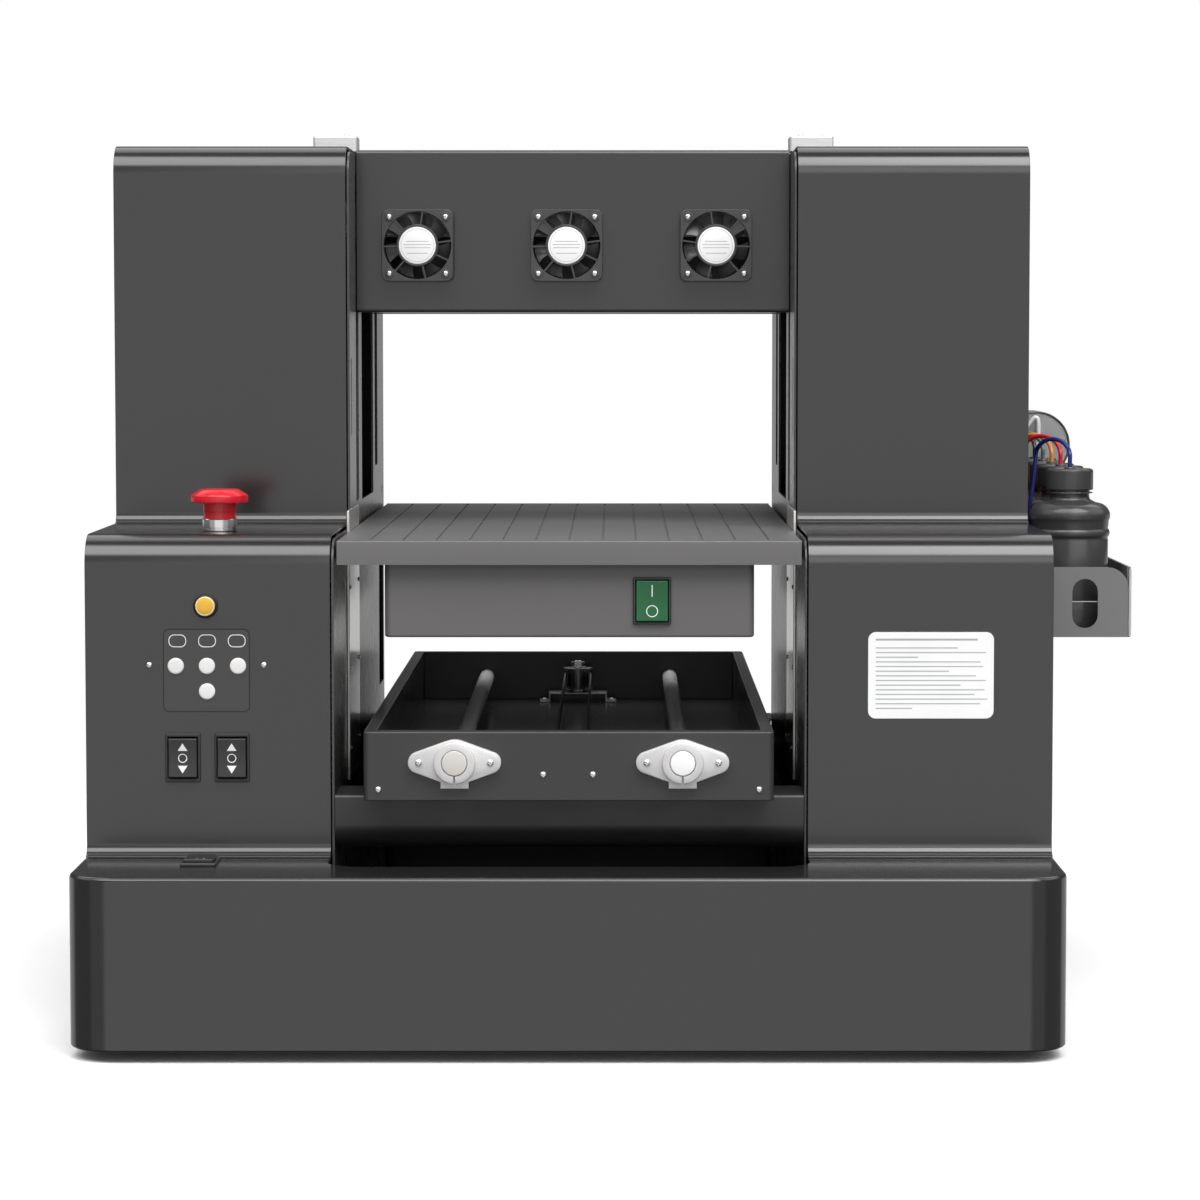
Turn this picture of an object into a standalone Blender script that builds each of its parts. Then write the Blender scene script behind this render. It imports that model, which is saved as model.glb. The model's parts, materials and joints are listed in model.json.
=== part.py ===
"""Bench-top flatbed UV printer: base plinth, two stepped towers, lifting print beam, sliding table.

Machine coordinates while building: x = 0 on the centre plane, y = 0 on the lower front faces of
the towers with +y to the rear, z = 0 on the ground. The root empty then shifts the whole printer
so that the origin is the bottom centre of its bounding box.
"""

import math

import bmesh
import bpy
from mathutils import Matrix, Vector

GAP = 0.0003

# Base plinth
BASE_HALF_X = 0.3435
BASE_FRONT = -0.111
BASE_BACK = 0.660
BASE_BOTTOM = 0.008
BASE_TOP = 0.128
BASE_SHEET = 0.0025
BASE_CORNER = 0.033
BASE_EDGE = 0.003
PIT_HALF_X = 0.1690
PIT_FRONT = -0.0536
PIT_BACK = 0.628
PIT_CORNER = 0.025
FOOT_RADIUS = 0.020
FOOT_INSET = 0.060

# Tower covers: stepped sheet housings
TOWER_OUTER = 0.342
TOWER_INNER = 0.1688
TOWER_BACK = 0.602
TOWER_TOP = 0.638
STEP_TOP = 0.356
STEP_BACK = 0.177
SHEET = 0.002
BEND = 0.022
FOOT_BEND = 0.0085

# Structural walls that stand in the pit and carry the lifts
WALL_INNER = 0.1665
WALL_OUTER = 0.1682
WALL_FRONT = 0.003
WALL_BACK = 0.599
SLOT_FRONT = 0.317
SLOT_BACK = 0.458
SLOT_BOTTOM = 0.368
SLOT_TOP = 0.628

# Print beam
BEAM_HALF_X = 0.1660
BEAM_FRONT = 0.255
BEAM_BACK = 0.515
BEAM_BOTTOM = 0.514
BEAM_TOP = 0.638
BEAM_SHEET = 0.0015
BEAM_LIP_FRONT = 0.322
BEAM_LIP_BACK = 0.456
FAN_X = (-0.1187, -0.0048, 0.1094)
FAN_Z = 0.565
FAN_SIDE = 0.055
FAN_DEPTH = 0.012
FAN_BORE = 0.0255

# Cross rail and print carriage
RAIL_HALF_X = 0.300
RAIL_FRONT = 0.345
RAIL_BACK = 0.385
RAIL_BOTTOM = 0.575
RAIL_TOP = 0.600
CARRIAGE_X = 0.225
CARRIAGE_HALF_X = 0.055
SCREW_X = 0.186
SCREW_Y = 0.303
SCREW_RADIUS = 0.005

# Table, vacuum box and the two lifting side plates
TABLE_HALF_X = 0.1640
TABLE_FRONT = 0.0
TABLE_BACK = 0.610
TABLE_TOP = 0.352
TABLE_THICK = 0.017
TABLE_SKIN = 0.004
TABLE_SKIRT = 0.0025
GROOVES = 13
GROOVE_PITCH = 0.0235
GROOVE_WIDTH = 0.0014
GROOVE_DEPTH = 0.0008
TABLE_RAIL_X = 0.1528
TABLE_RAIL_HALF = 0.006
TABLE_RAIL_BOTTOM = 0.3397
BOX_HALF_X = 0.131
BOX_FRONT = 0.010
BOX_BACK = 0.580
BOX_BOTTOM = 0.283
BOX_SHEET = 0.0015
LIFT_FRONT = 0.137
LIFT_BACK = 0.305
LIFT_PLATE_BACK = 0.249
LIFT_BOTTOM = 0.167
LIFT_TOP = 0.367
LIFT_SHEET = 0.0018

# Drive tray under the table
TRAY_HALF_X = 0.1435
TRAY_FRONT = -0.038
TRAY_BACK = 0.650
TRAY_BOTTOM = 0.1723
TRAY_TOP = 0.221
TRAY_FLOOR = 0.180
TRAY_SHEET = 0.002
TRAY_RIM = 0.009
SHAFT_X = 0.0795
SHAFT_Z = 0.1995
SHAFT_RADIUS = 0.00625
SHAFT_HEAD = 0.00875
CROSS_TOP = 0.172
CROSS_BOTTOM = 0.133
CROSS_DEPTH = 0.056
MOTOR_Y = 0.078
IDLER_Y = 0.622
PULLEY_RADIUS = 0.0100
BELT_INNER = 0.0103
BELT_OUTER = 0.0117
BELT_BOTTOM = 0.1945
BELT_TOP = 0.2045

# Ink shelf on the right-hand tower
SHELF_INNER = TOWER_OUTER + GAP
SHELF_OUTER = 0.415
SHELF_FRONT = 0.140
SHELF_BACK = 0.500
SHELF_BOTTOM = 0.273
SHELF_TOP = 0.325
SHELF_SHEET = 0.0018
BOTTLE_X = 0.3735
BOTTLE_FIRST_Y = 0.180
BOTTLE_PITCH = 0.0616
BOTTLES = 5
BOTTLE_FLOOR = SHELF_BOTTOM + SHELF_SHEET + GAP
BOTTLE_HEIGHT = 0.122
TUBE_SIDES = 6
TUBE_STEPS = 7
MIXER_CENTRE = (0.3790, 0.490, 0.406)
MIXER_RADIUS = 0.028

# Controls on the left-hand tower
ROCKER_SIZE = (0.0200, 0.0276)
ROCKER_FRAME = (0.0248, 0.0350)
ROCKER_HOLE = (0.0232, 0.0308)
FACE_ROCKERS = {"beam": (-0.2733, 0.1985), "table": (-0.2386, 0.1985)}
BASE_ROCKER = (-0.2580, -0.0355)
POWER_ROCKER = (0.0586, 0.309)
POWER_SIZE = (0.0225, 0.0290)
KEYS = ((-0.2780, 0.2635), (-0.2560, 0.2635), (-0.2340, 0.2635), (-0.2560, 0.2455))
KEY_RADIUS = 0.00575
YELLOW = (-0.2567, 0.306)
YELLOW_RADIUS = 0.0069
ESTOP = (-0.2535, 0.060)

MATERIALS = {
    "black_cover": ((0.075, 0.073, 0.075), 0.25, 0.0),
    "base_black": ((0.065, 0.063, 0.065), 0.22, 0.0),
    "wall_black": ((0.045, 0.045, 0.047), 0.45, 0.0),
    "rubber": ((0.02, 0.02, 0.02), 0.8, 0.0),
    "aluminium": ((0.72, 0.72, 0.73), 0.35, 1.0),
    "steel": ((0.62, 0.62, 0.63), 0.25, 1.0),
    "table_grey": ((0.17, 0.17, 0.17), 0.45, 0.3),
    "box_grey": ((0.15, 0.148, 0.15), 0.5, 0.0),
    "tray_black": ((0.05, 0.05, 0.05), 0.35, 0.0),
    "shelf_grey": ((0.20, 0.195, 0.20), 0.5, 0.0),
    "black_plastic": ((0.03, 0.03, 0.03), 0.4, 0.0),
    "bottle_black": ((0.04, 0.04, 0.04), 0.5, 0.0),
    "belt_black": ((0.03, 0.03, 0.03), 0.7, 0.0),
    "smoked_plastic": ((0.45, 0.45, 0.45), 0.2, 0.0),
    "tube_blue": ((0.03, 0.05, 0.35), 0.3, 0.0),
    "red_plastic": ((0.65, 0.01, 0.02), 0.3, 0.0),
    "yellow_plastic": ((0.85, 0.55, 0.05), 0.3, 0.0),
    "white_plastic": ((0.85, 0.85, 0.85), 0.3, 0.0),
    "green_plastic": ((0.0, 0.25, 0.06), 0.25, 0.0),
}


# ---------------------------------------------------------------------------------------------
# Scene and material helpers
# ---------------------------------------------------------------------------------------------


def clear_scene():
    for thing in list(bpy.data.objects):
        bpy.data.objects.remove(thing, do_unlink=True)


def material(name):
    found = bpy.data.materials.get(name)
    if found:
        return found
    colour, roughness, metallic = MATERIALS[name]
    made = bpy.data.materials.new(name)
    made.use_nodes = True
    shader = made.node_tree.nodes["Principled BSDF"]
    shader.inputs["Base Color"].default_value = (*colour, 1.0)
    shader.inputs["Roughness"].default_value = roughness
    shader.inputs["Metallic"].default_value = metallic
    return made


def make_root():
    root = bpy.data.objects.new("printer", None)
    bpy.context.scene.collection.objects.link(root)
    centre_x = (SHELF_OUTER - BASE_HALF_X) / 2
    centre_y = (BASE_FRONT + BASE_BACK) / 2
    root.location = (-centre_x, -centre_y, 0.0)
    return root


# ---------------------------------------------------------------------------------------------
# Outline helpers: lists of 2-D points
# ---------------------------------------------------------------------------------------------


def rounded_rectangle(x0, x1, y0, y1, radius, steps=4):
    """Anticlockwise outline with (steps + 1) points on each corner."""
    corners = (
        (x1 - radius, y0 + radius, -90),
        (x1 - radius, y1 - radius, 0),
        (x0 + radius, y1 - radius, 90),
        (x0 + radius, y0 + radius, 180),
    )
    points = []
    for cx, cy, start in corners:
        for step in range(steps + 1):
            angle = math.radians(start + 90 * step / steps)
            points.append((cx + radius * math.cos(angle), cy + radius * math.sin(angle)))
    return points


def circle(cx, cy, radius, count=24, turn=0.0):
    angles = [turn + math.tau * i / count for i in range(count)]
    return [(cx + radius * math.cos(a), cy + radius * math.sin(a)) for a in angles]


def stadium(cx, cy, radius, half_straight, steps=8):
    """Slot outline, upright: two half circles joined by straight sides."""
    points = []
    for side, start in ((1, 0), (-1, 180)):
        for step in range(steps + 1):
            angle = math.radians(start + 180 * step / steps)
            y = cy + side * half_straight + radius * math.sin(angle)
            points.append((cx + radius * math.cos(angle), y))
    return points


def box_outline(x0, x1, y0, y1):
    return [(x0, y0), (x1, y0), (x1, y1), (x0, y1)]


def offset_corners(points, distance):
    """Corners of an open path moved to its left by distance, mitred at each corner."""
    moved = []
    for i, point in enumerate(points):
        before = Vector(points[max(i - 1, 0)])
        here = Vector(point)
        after = Vector(points[min(i + 1, len(points) - 1)])
        first = (here - before) if i > 0 else (after - here)
        second = (after - here) if i < len(points) - 1 else first
        n1 = Vector((-first.y, first.x)).normalized()
        n2 = Vector((-second.y, second.x)).normalized()
        mitre = (n1 + n2) / (1 + n1.dot(n2))
        moved.append(tuple(here + mitre * distance))
    return moved


def rounded_path(points, radii, steps=8):
    """Open path whose inner corners are replaced by arcs of the given radii."""
    path = [tuple(points[0])]
    for before, corner, after, radius in zip(points, points[1:], points[2:], radii):
        a, b, c = Vector(before), Vector(corner), Vector(after)
        into, out = (b - a).normalized(), (c - b).normalized()
        turn = math.atan2(into.x * out.y - into.y * out.x, into.dot(out))
        reach = radius * math.tan(abs(turn) / 2)
        side = 1 if turn > 0 else -1
        centre = b - into * reach + Vector((-into.y, into.x)) * radius * side
        arm = (b - into * reach) - centre
        for step in range(steps + 1):
            spun = Matrix.Rotation(turn * step / steps, 2) @ arm
            path.append(tuple(centre + spun))
    path.append(tuple(points[-1]))
    return path


def bent_strip(corners, radii, thickness, steps=8):
    """Closed outline of a bent sheet that lies on the left of the corner path."""
    inner_radii = []
    for before, corner, after, radius in zip(corners, corners[1:], corners[2:], radii):
        a, b, c = Vector(before), Vector(corner), Vector(after)
        turn = (b - a).x * (c - b).y - (b - a).y * (c - b).x
        inner_radii.append(radius - thickness if turn > 0 else radius + thickness)
    outer = rounded_path(corners, radii, steps)
    inner = rounded_path(offset_corners(corners, thickness), inner_radii, steps)
    return outer + inner[::-1]


# ---------------------------------------------------------------------------------------------
# Solid builder
# ---------------------------------------------------------------------------------------------


def lift_point(axis, point, level):
    """A 2-D outline point placed at a level along the named axis."""
    a, b = point
    return {"X": (level, a, b), "Y": (a, level, b), "Z": (a, b, level)}[axis]


class Solid:
    """A closed body put together from loops of points, walls between loops, and filled ends."""

    def __init__(self, axis="Z"):
        self.mesh = bmesh.new()
        self.axis = axis

    def loop(self, outline, level):
        return [self.mesh.verts.new(lift_point(self.axis, p, level)) for p in outline]

    def wall(self, first, second):
        for i in range(len(first)):
            j = (i + 1) % len(first)
            self.mesh.faces.new((first[i], first[j], second[j], second[i]))

    def cap(self, loop):
        self.mesh.faces.new(loop)

    def fill(self, *loops):
        """Flat face bounded by the first loop, with the other loops as holes in it."""
        edges = []
        for loop in loops:
            for i, vert in enumerate(loop):
                ends = (vert, loop[(i + 1) % len(loop)])
                edges.append(self.mesh.edges.get(ends) or self.mesh.edges.new(ends))
        bmesh.ops.triangle_fill(self.mesh, use_beauty=True, edges=edges)

    def stack(self, sections, closed=False):
        """Walls through (outline, level) sections; the ends are capped unless the stack closes."""
        loops = [self.loop(outline, level) for outline, level in sections]
        for lower, upper in zip(loops, loops[1:]):
            self.wall(lower, upper)
        if closed:
            self.wall(loops[-1], loops[0])
        else:
            self.cap(loops[0])
            self.cap(loops[-1])
        return loops

    def cylinder(self, centre, radius, low, high, count=24, turn=0.0):
        outline = circle(*centre, radius, count, turn)
        self.stack(((outline, low), (outline, high)))

    def box(self, outline, low, high):
        self.stack(((outline, low), (outline, high)))

    def data(self, name, origin=(0, 0, 0)):
        bmesh.ops.recalc_face_normals(self.mesh, faces=self.mesh.faces)
        bmesh.ops.translate(self.mesh, vec=-Vector(origin), verts=self.mesh.verts)
        made = bpy.data.meshes.new(name)
        self.mesh.to_mesh(made)
        self.mesh.free()
        return made


def add_mesh(name, mesh, slot, origin=(0, 0, 0), rotation=(0, 0, 0)):
    thing = bpy.data.objects.new(name, mesh)
    bpy.context.scene.collection.objects.link(thing)
    thing.parent = ROOT
    thing.location = origin
    thing.rotation_euler = rotation
    if not mesh.materials:
        mesh.materials.append(material(slot))
    mesh.shade_smooth()
    mesh.set_sharp_from_angle(angle=math.radians(32))
    return thing


def finish(solid, name, slot, origin=(0, 0, 0)):
    return add_mesh(name, solid.data(name, origin), slot, origin)


def cutter_object(solid, name):
    thing = bpy.data.objects.new(name, solid.data(name))
    bpy.context.scene.collection.objects.link(thing)
    thing.parent = ROOT
    thing.hide_render = True
    thing.display_type = "WIRE"
    return thing


def boolean(target, tool, operation):
    step = target.modifiers.new(tool.name, "BOOLEAN")
    step.object = tool
    step.operation = operation
    step.solver = "EXACT"


def prism(name, slot, axis, outline, low, high, origin=(0, 0, 0)):
    solid = Solid(axis)
    solid.box(outline, low, high)
    return finish(solid, name, slot, origin)


def turned(name, slot, profile, centre, count=20, origin=None, closed=False, axis="Z", turn=0.0):
    """Round body: (radius, level) pairs spun about the axis through centre."""
    solid = Solid(axis)
    sections = [(circle(*centre, radius, count, turn), level) for radius, level in profile]
    solid.stack(sections, closed=closed)
    return finish(solid, name, slot, origin or (0, 0, 0))


# ---------------------------------------------------------------------------------------------
# Base
# ---------------------------------------------------------------------------------------------


def base_outline(inset, radius=BASE_CORNER):
    return rounded_rectangle(
        -BASE_HALF_X + inset,
        BASE_HALF_X - inset,
        BASE_FRONT + inset,
        BASE_BACK - inset,
        radius - inset,
        steps=8,
    )


def pit_outline():
    return rounded_rectangle(-PIT_HALF_X, PIT_HALF_X, PIT_FRONT, PIT_BACK, PIT_CORNER, steps=8)


def base_shell():
    """Welded box with rounded upright corners, open at the pit between the towers."""
    solid = Solid("Z")
    sections = [(base_outline(0.001), BASE_BOTTOM), (base_outline(0.0), BASE_BOTTOM + 0.001)]
    for step in range(4):
        angle = math.radians(30 * step)
        inset = BASE_EDGE * (1 - math.cos(angle))
        sections.append((base_outline(inset), BASE_TOP - BASE_EDGE * (1 - math.sin(angle))))
    sections.append((pit_outline(), BASE_TOP))
    sections.append((pit_outline(), BASE_TOP - BASE_SHEET))
    sections.append((base_outline(BASE_SHEET), BASE_TOP - BASE_SHEET))
    sections.append((base_outline(BASE_SHEET), BASE_BOTTOM + BASE_SHEET))
    solid.stack(sections)
    base = finish(solid, "base_shell", "base_black")
    x, y = BASE_ROCKER
    hole = Solid("Z")
    half_x, half_y = ROCKER_HOLE[0] / 2, ROCKER_HOLE[1] / 2
    hole.box(box_outline(x - half_x, x + half_x, y - half_y, y + half_y), 0.12, 0.13)
    boolean(base, cutter_object(hole, "base_rocker_cut"), "DIFFERENCE")


def feet():
    places = {
        "foot_front_left": (-1, BASE_FRONT + FOOT_INSET),
        "foot_front_right": (1, BASE_FRONT + FOOT_INSET),
        "foot_back_left": (-1, BASE_BACK - FOOT_INSET),
        "foot_back_right": (1, BASE_BACK - FOOT_INSET),
    }
    top = BASE_BOTTOM - GAP
    profile = (
        (FOOT_RADIUS - 0.0015, 0.0),
        (FOOT_RADIUS, 0.0015),
        (FOOT_RADIUS, top - 0.001),
        (FOOT_RADIUS - 0.001, top),
    )
    for name, (side, y) in places.items():
        turned(name, "rubber", profile, (side * (BASE_HALF_X - FOOT_INSET), y), count=20)


# ---------------------------------------------------------------------------------------------
# Towers
# ---------------------------------------------------------------------------------------------


def cover_outer_path():
    """Outside of the cover from the flared foot, over the step and the top, to the rear."""
    bottom = BASE_TOP + GAP
    lip = 0.0007
    path = [(-FOOT_BEND, bottom)]
    for step in range(7):
        angle = math.radians(-90 + 90 * step / 6)
        y = -FOOT_BEND + FOOT_BEND * math.cos(angle)
        path.append((y, bottom + lip + FOOT_BEND * (1 + math.sin(angle))))
    corners = (
        (0.0, bottom + 0.02),
        (0.0, STEP_TOP),
        (STEP_BACK, STEP_TOP),
        (STEP_BACK, TOWER_TOP),
        (TOWER_BACK, TOWER_TOP),
        (TOWER_BACK, bottom),
    )
    return path + rounded_path(corners, (BEND, FOOT_BEND, BEND, 0.004))


def cover_inner_path():
    bottom = BASE_TOP + GAP
    corners = (
        (SHEET, bottom),
        (SHEET, STEP_TOP - SHEET),
        (STEP_BACK + SHEET, STEP_TOP - SHEET),
        (STEP_BACK + SHEET, TOWER_TOP - SHEET),
        (TOWER_BACK - SHEET, TOWER_TOP - SHEET),
        (TOWER_BACK - SHEET, bottom),
    )
    return rounded_path(corners, (BEND - SHEET, FOOT_BEND + SHEET, BEND - SHEET, 0.002))


def strip_wall(solid, first, second):
    """Wall between two open paths."""
    for i in range(len(first) - 1):
        solid.mesh.faces.new((first[i], first[i + 1], second[i + 1], second[i]))


def tower_cover(name, side):
    """Sheet housing closed on the outer side and open towards the machine's centre."""
    solid = Solid("X")
    outside = cover_outer_path()
    inside = cover_inner_path()
    outer_far = solid.loop(outside, side * TOWER_OUTER)
    outer_near = solid.loop(outside, side * TOWER_INNER)
    inner_near = solid.loop(inside, side * TOWER_INNER)
    inner_far = solid.loop(inside, side * (TOWER_OUTER - SHEET))
    solid.cap(outer_far)
    strip_wall(solid, outer_far, outer_near)
    solid.cap(outer_near + inner_near[::-1])
    strip_wall(solid, inner_near, inner_far)
    solid.cap(inner_far)
    rim = (outer_far, outer_near, inner_near, inner_far)
    front = [loop[0] for loop in rim]
    rear = [loop[-1] for loop in rim]
    solid.cap(front + rear[::-1])
    return finish(solid, name, "black_cover")


def left_cover_holes(cover):
    """Openings for the keys, button and rockers in the front, and the stop button in the step."""
    holes = Solid("Y")
    for x, z in FACE_ROCKERS.values():
        half_x, half_z = ROCKER_HOLE[0] / 2, ROCKER_HOLE[1] / 2
        holes.box(box_outline(x - half_x, x + half_x, z - half_z, z + half_z), -0.005, 0.005)
    for place in KEYS:
        holes.cylinder(place, KEY_RADIUS + 0.0004, -0.005, 0.005, count=20)
    holes.cylinder(YELLOW, YELLOW_RADIUS + 0.0004, -0.005, 0.005, count=20)
    boolean(cover, cutter_object(holes, "left_cover_front_cut"), "DIFFERENCE")
    stem = Solid("Z")
    stem.cylinder(ESTOP, 0.0088, STEP_TOP - 0.005, STEP_TOP + 0.005, count=20)
    boolean(cover, cutter_object(stem, "left_cover_stop_cut"), "DIFFERENCE")


def wall_outline():
    """Side wall, stepped like the cover."""
    clear = 0.0035
    corners = (
        (WALL_FRONT, BASE_BOTTOM + BASE_SHEET + GAP),
        (WALL_FRONT, STEP_TOP - clear),
        (STEP_BACK + clear, STEP_TOP - clear),
        (STEP_BACK + clear, TOWER_TOP - clear),
        (WALL_BACK, TOWER_TOP - clear),
        (WALL_BACK, BASE_BOTTOM + BASE_SHEET + GAP),
    )
    radii = (0.019, 0.011, 0.019, 0.003)
    return rounded_path(corners, radii, steps=4)


def tower_wall(name, side):
    """Plate with the tall opening for the print carriage and narrower guide slots."""
    outlines = [
        wall_outline(),
        rounded_rectangle(SLOT_FRONT, SLOT_BACK, SLOT_BOTTOM, SLOT_TOP, 0.002, steps=2),
        rounded_rectangle(0.481, 0.515, 0.389, 0.620, 0.004, steps=2),
        rounded_rectangle(0.251, 0.281, 0.369, 0.620, 0.002, steps=2),
        rounded_rectangle(0.196, 0.203, 0.420, 0.480, 0.003, steps=2),
        circle(0.575, 0.366, 0.004, count=10),
    ]
    if side < 0:
        outlines.append(rounded_rectangle(0.530, 0.588, 0.202, 0.345, 0.002, steps=2))
    solid = Solid("X")
    near = [solid.loop(outline, side * WALL_INNER) for outline in outlines]
    far = [solid.loop(outline, side * WALL_OUTER) for outline in outlines]
    for first, second in zip(near, far):
        solid.wall(first, second)
    solid.fill(*near)
    solid.fill(*far)
    finish(solid, name, "wall_black")


def lift_cap(name, side):
    """Bearing cap of the beam lift, on top of the tower."""
    x0, x1 = sorted((side * (TOWER_INNER - 0.0015), side * (TOWER_INNER + 0.0325)))
    outline = rounded_rectangle(x0, x1, SCREW_Y - 0.015, SCREW_Y + 0.015, 0.002, steps=2)
    inner = rounded_rectangle(
        x0 + 0.001, x1 - 0.001, SCREW_Y - 0.014, SCREW_Y + 0.014, 0.001, steps=2
    )
    bottom = TOWER_TOP + GAP
    solid = Solid("Z")
    solid.stack(((outline, bottom), (outline, 0.6495), (inner, 0.6505)))
    finish(solid, name, "aluminium")


def lift_screw(name, side):
    centre = (side * SCREW_X, SCREW_Y)
    profile = (
        (SCREW_RADIUS - 0.001, BASE_TOP + GAP),
        (SCREW_RADIUS, BASE_TOP + 0.0015),
        (SCREW_RADIUS, TOWER_TOP - SHEET - 0.0015),
        (SCREW_RADIUS - 0.001, TOWER_TOP - SHEET - GAP),
    )
    turned(name, "steel", profile, centre, count=14, origin=(*centre, BASE_TOP))


# ---------------------------------------------------------------------------------------------
# Cross members and drive tray
# ---------------------------------------------------------------------------------------------


def cross_cover(name, front, facing):
    """Channel between the side walls; facing is the y direction its closed face looks away from."""
    depth = front + facing * CROSS_DEPTH
    corners = [(depth, CROSS_TOP), (front, CROSS_TOP), (front, CROSS_BOTTOM), (depth, CROSS_BOTTOM)]
    if facing < 0:
        corners = corners[::-1]
        radii = (0.018, 0.0025)
    else:
        radii = (0.0025, 0.018)
    outline = bent_strip(corners, radii, 0.0015)
    prism(name, "black_cover", "X", outline, -WALL_INNER + GAP, WALL_INNER - GAP)


def tray_outline(inset):
    return rounded_rectangle(
        -TRAY_HALF_X + inset,
        TRAY_HALF_X - inset,
        TRAY_FRONT + inset,
        TRAY_BACK - inset,
        max(0.004 - inset, 0.001),
        steps=3,
    )


def tray():
    """Double-walled open tray; the hollow between its wall sheets is open underneath."""
    inner_sheet = TRAY_RIM - TRAY_SHEET
    sections = (
        (tray_outline(inner_sheet), TRAY_FLOOR - TRAY_SHEET),
        (tray_outline(inner_sheet), TRAY_TOP - TRAY_SHEET),
        (tray_outline(TRAY_SHEET), TRAY_TOP - TRAY_SHEET),
        (tray_outline(TRAY_SHEET), TRAY_BOTTOM),
        (tray_outline(0.0), TRAY_BOTTOM),
        (tray_outline(0.0), TRAY_TOP - 0.001),
        (tray_outline(0.001), TRAY_TOP),
        (tray_outline(TRAY_RIM), TRAY_TOP),
        (tray_outline(TRAY_RIM), TRAY_FLOOR),
    )
    solid = Solid("Z")
    solid.stack(sections)
    body = finish(solid, "drive_tray", "tray_black")
    holes = Solid("Y")
    for side in (-1, 1):
        place = (side * SHAFT_X, SHAFT_Z)
        for low, high in (
            (TRAY_FRONT - 0.005, TRAY_FRONT + 0.014),
            (TRAY_BACK - 0.014, TRAY_BACK - 0.0045),
        ):
            holes.cylinder(place, SHAFT_RADIUS + 0.0006, low, high, count=16)
    boolean(body, cutter_object(holes, "tray_shaft_cut"), "DIFFERENCE")
    drive = Solid("Z")
    drive.cylinder((0.0, MOTOR_Y), 0.0055, TRAY_FLOOR - 0.01, TRAY_FLOOR + 0.01, count=12)
    boolean(body, cutter_object(drive, "tray_motor_cut"), "DIFFERENCE")


def guide_shaft(name, side):
    """Ground shaft with a wider head that shows in its front support."""
    front = TRAY_FRONT - 0.0103
    profile = (
        (SHAFT_HEAD - 0.0008, front),
        (SHAFT_HEAD, front + 0.0008),
        (SHAFT_HEAD, front + 0.0025),
        (SHAFT_RADIUS, front + 0.0025),
        (SHAFT_RADIUS, TRAY_BACK - 0.005),
    )
    turned(name, "steel", profile, (side * SHAFT_X, SHAFT_Z), count=16, axis="Y")


def support_outline(cx, cz):
    """Lens-shaped flange around the boss, with a square lug below."""
    boss, ear, reach = 0.0160, 0.0075, 0.0250
    tilt = math.asin((boss - ear) / reach)
    points = []
    for start, end, centre, radius, steps in (
        (-90 + math.degrees(tilt), 90 - math.degrees(tilt), reach, ear, 6),
        (90 - math.degrees(tilt), 90 + math.degrees(tilt), 0.0, boss, 3),
        (90 + math.degrees(tilt), 270 - math.degrees(tilt), -reach, ear, 6),
    ):
        for step in range(steps + 1):
            angle = math.radians(start + (end - start) * step / steps)
            x = cx + centre + radius * math.cos(angle)
            points.append((x, cz + radius * math.sin(angle)))
    lug, drop = 0.0098, 0.0182
    shoulder = -boss / math.cos(tilt) + lug * math.tan(tilt)
    points += [(cx - lug, cz + shoulder), (cx - lug, cz - drop)]
    points += [(cx + lug, cz - drop), (cx + lug, cz + shoulder)]
    return points


def shaft_support(name, side):
    """Cast flange on the tray front that carries one end of a guide shaft."""
    cx, cz = side * SHAFT_X, SHAFT_Z
    back = TRAY_FRONT - GAP
    plate = back - 0.006
    face = back - 0.010
    pocket = TRAY_FRONT - 0.0103 + 0.0028
    solid = Solid("Y")
    outline_back = solid.loop(support_outline(cx, cz), back)
    outline_plate = solid.loop(support_outline(cx, cz), plate)
    bore_back = solid.loop(circle(cx, cz, SHAFT_RADIUS + 0.0006, 18), back)
    bore_pocket = solid.loop(circle(cx, cz, SHAFT_RADIUS + 0.0006, 18), pocket)
    pocket_floor = solid.loop(circle(cx, cz, SHAFT_HEAD + 0.0004, 18), pocket)
    pocket_mouth = solid.loop(circle(cx, cz, SHAFT_HEAD + 0.0004, 18), face)
    boss_face = solid.loop(circle(cx, cz, 0.0137, 18), face)
    boss_side = solid.loop(circle(cx, cz, 0.0145, 18), face + 0.0008)
    boss_root = solid.loop(circle(cx, cz, 0.0145, 18), plate)
    solid.fill(outline_back, bore_back)
    solid.wall(outline_back, outline_plate)
    solid.fill(outline_plate, boss_root)
    solid.wall(boss_root, boss_side)
    solid.wall(boss_side, boss_face)
    solid.wall(boss_face, pocket_mouth)
    solid.wall(pocket_mouth, pocket_floor)
    solid.wall(pocket_floor, bore_pocket)
    solid.wall(bore_pocket, bore_back)
    finish(solid, name, "aluminium")


def pulley_profile(bottom, top, bore):
    """Closed (radius, level) ring of a flanged belt pulley."""
    flange = PULLEY_RADIUS + 0.0026
    rim = 0.0012
    return (
        (bore, bottom),
        (flange, bottom),
        (flange, bottom + rim),
        (PULLEY_RADIUS, bottom + rim + 0.0005),
        (PULLEY_RADIUS, top - rim - 0.0005),
        (flange, top - rim),
        (flange, top),
        (bore, top),
    )


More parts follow.
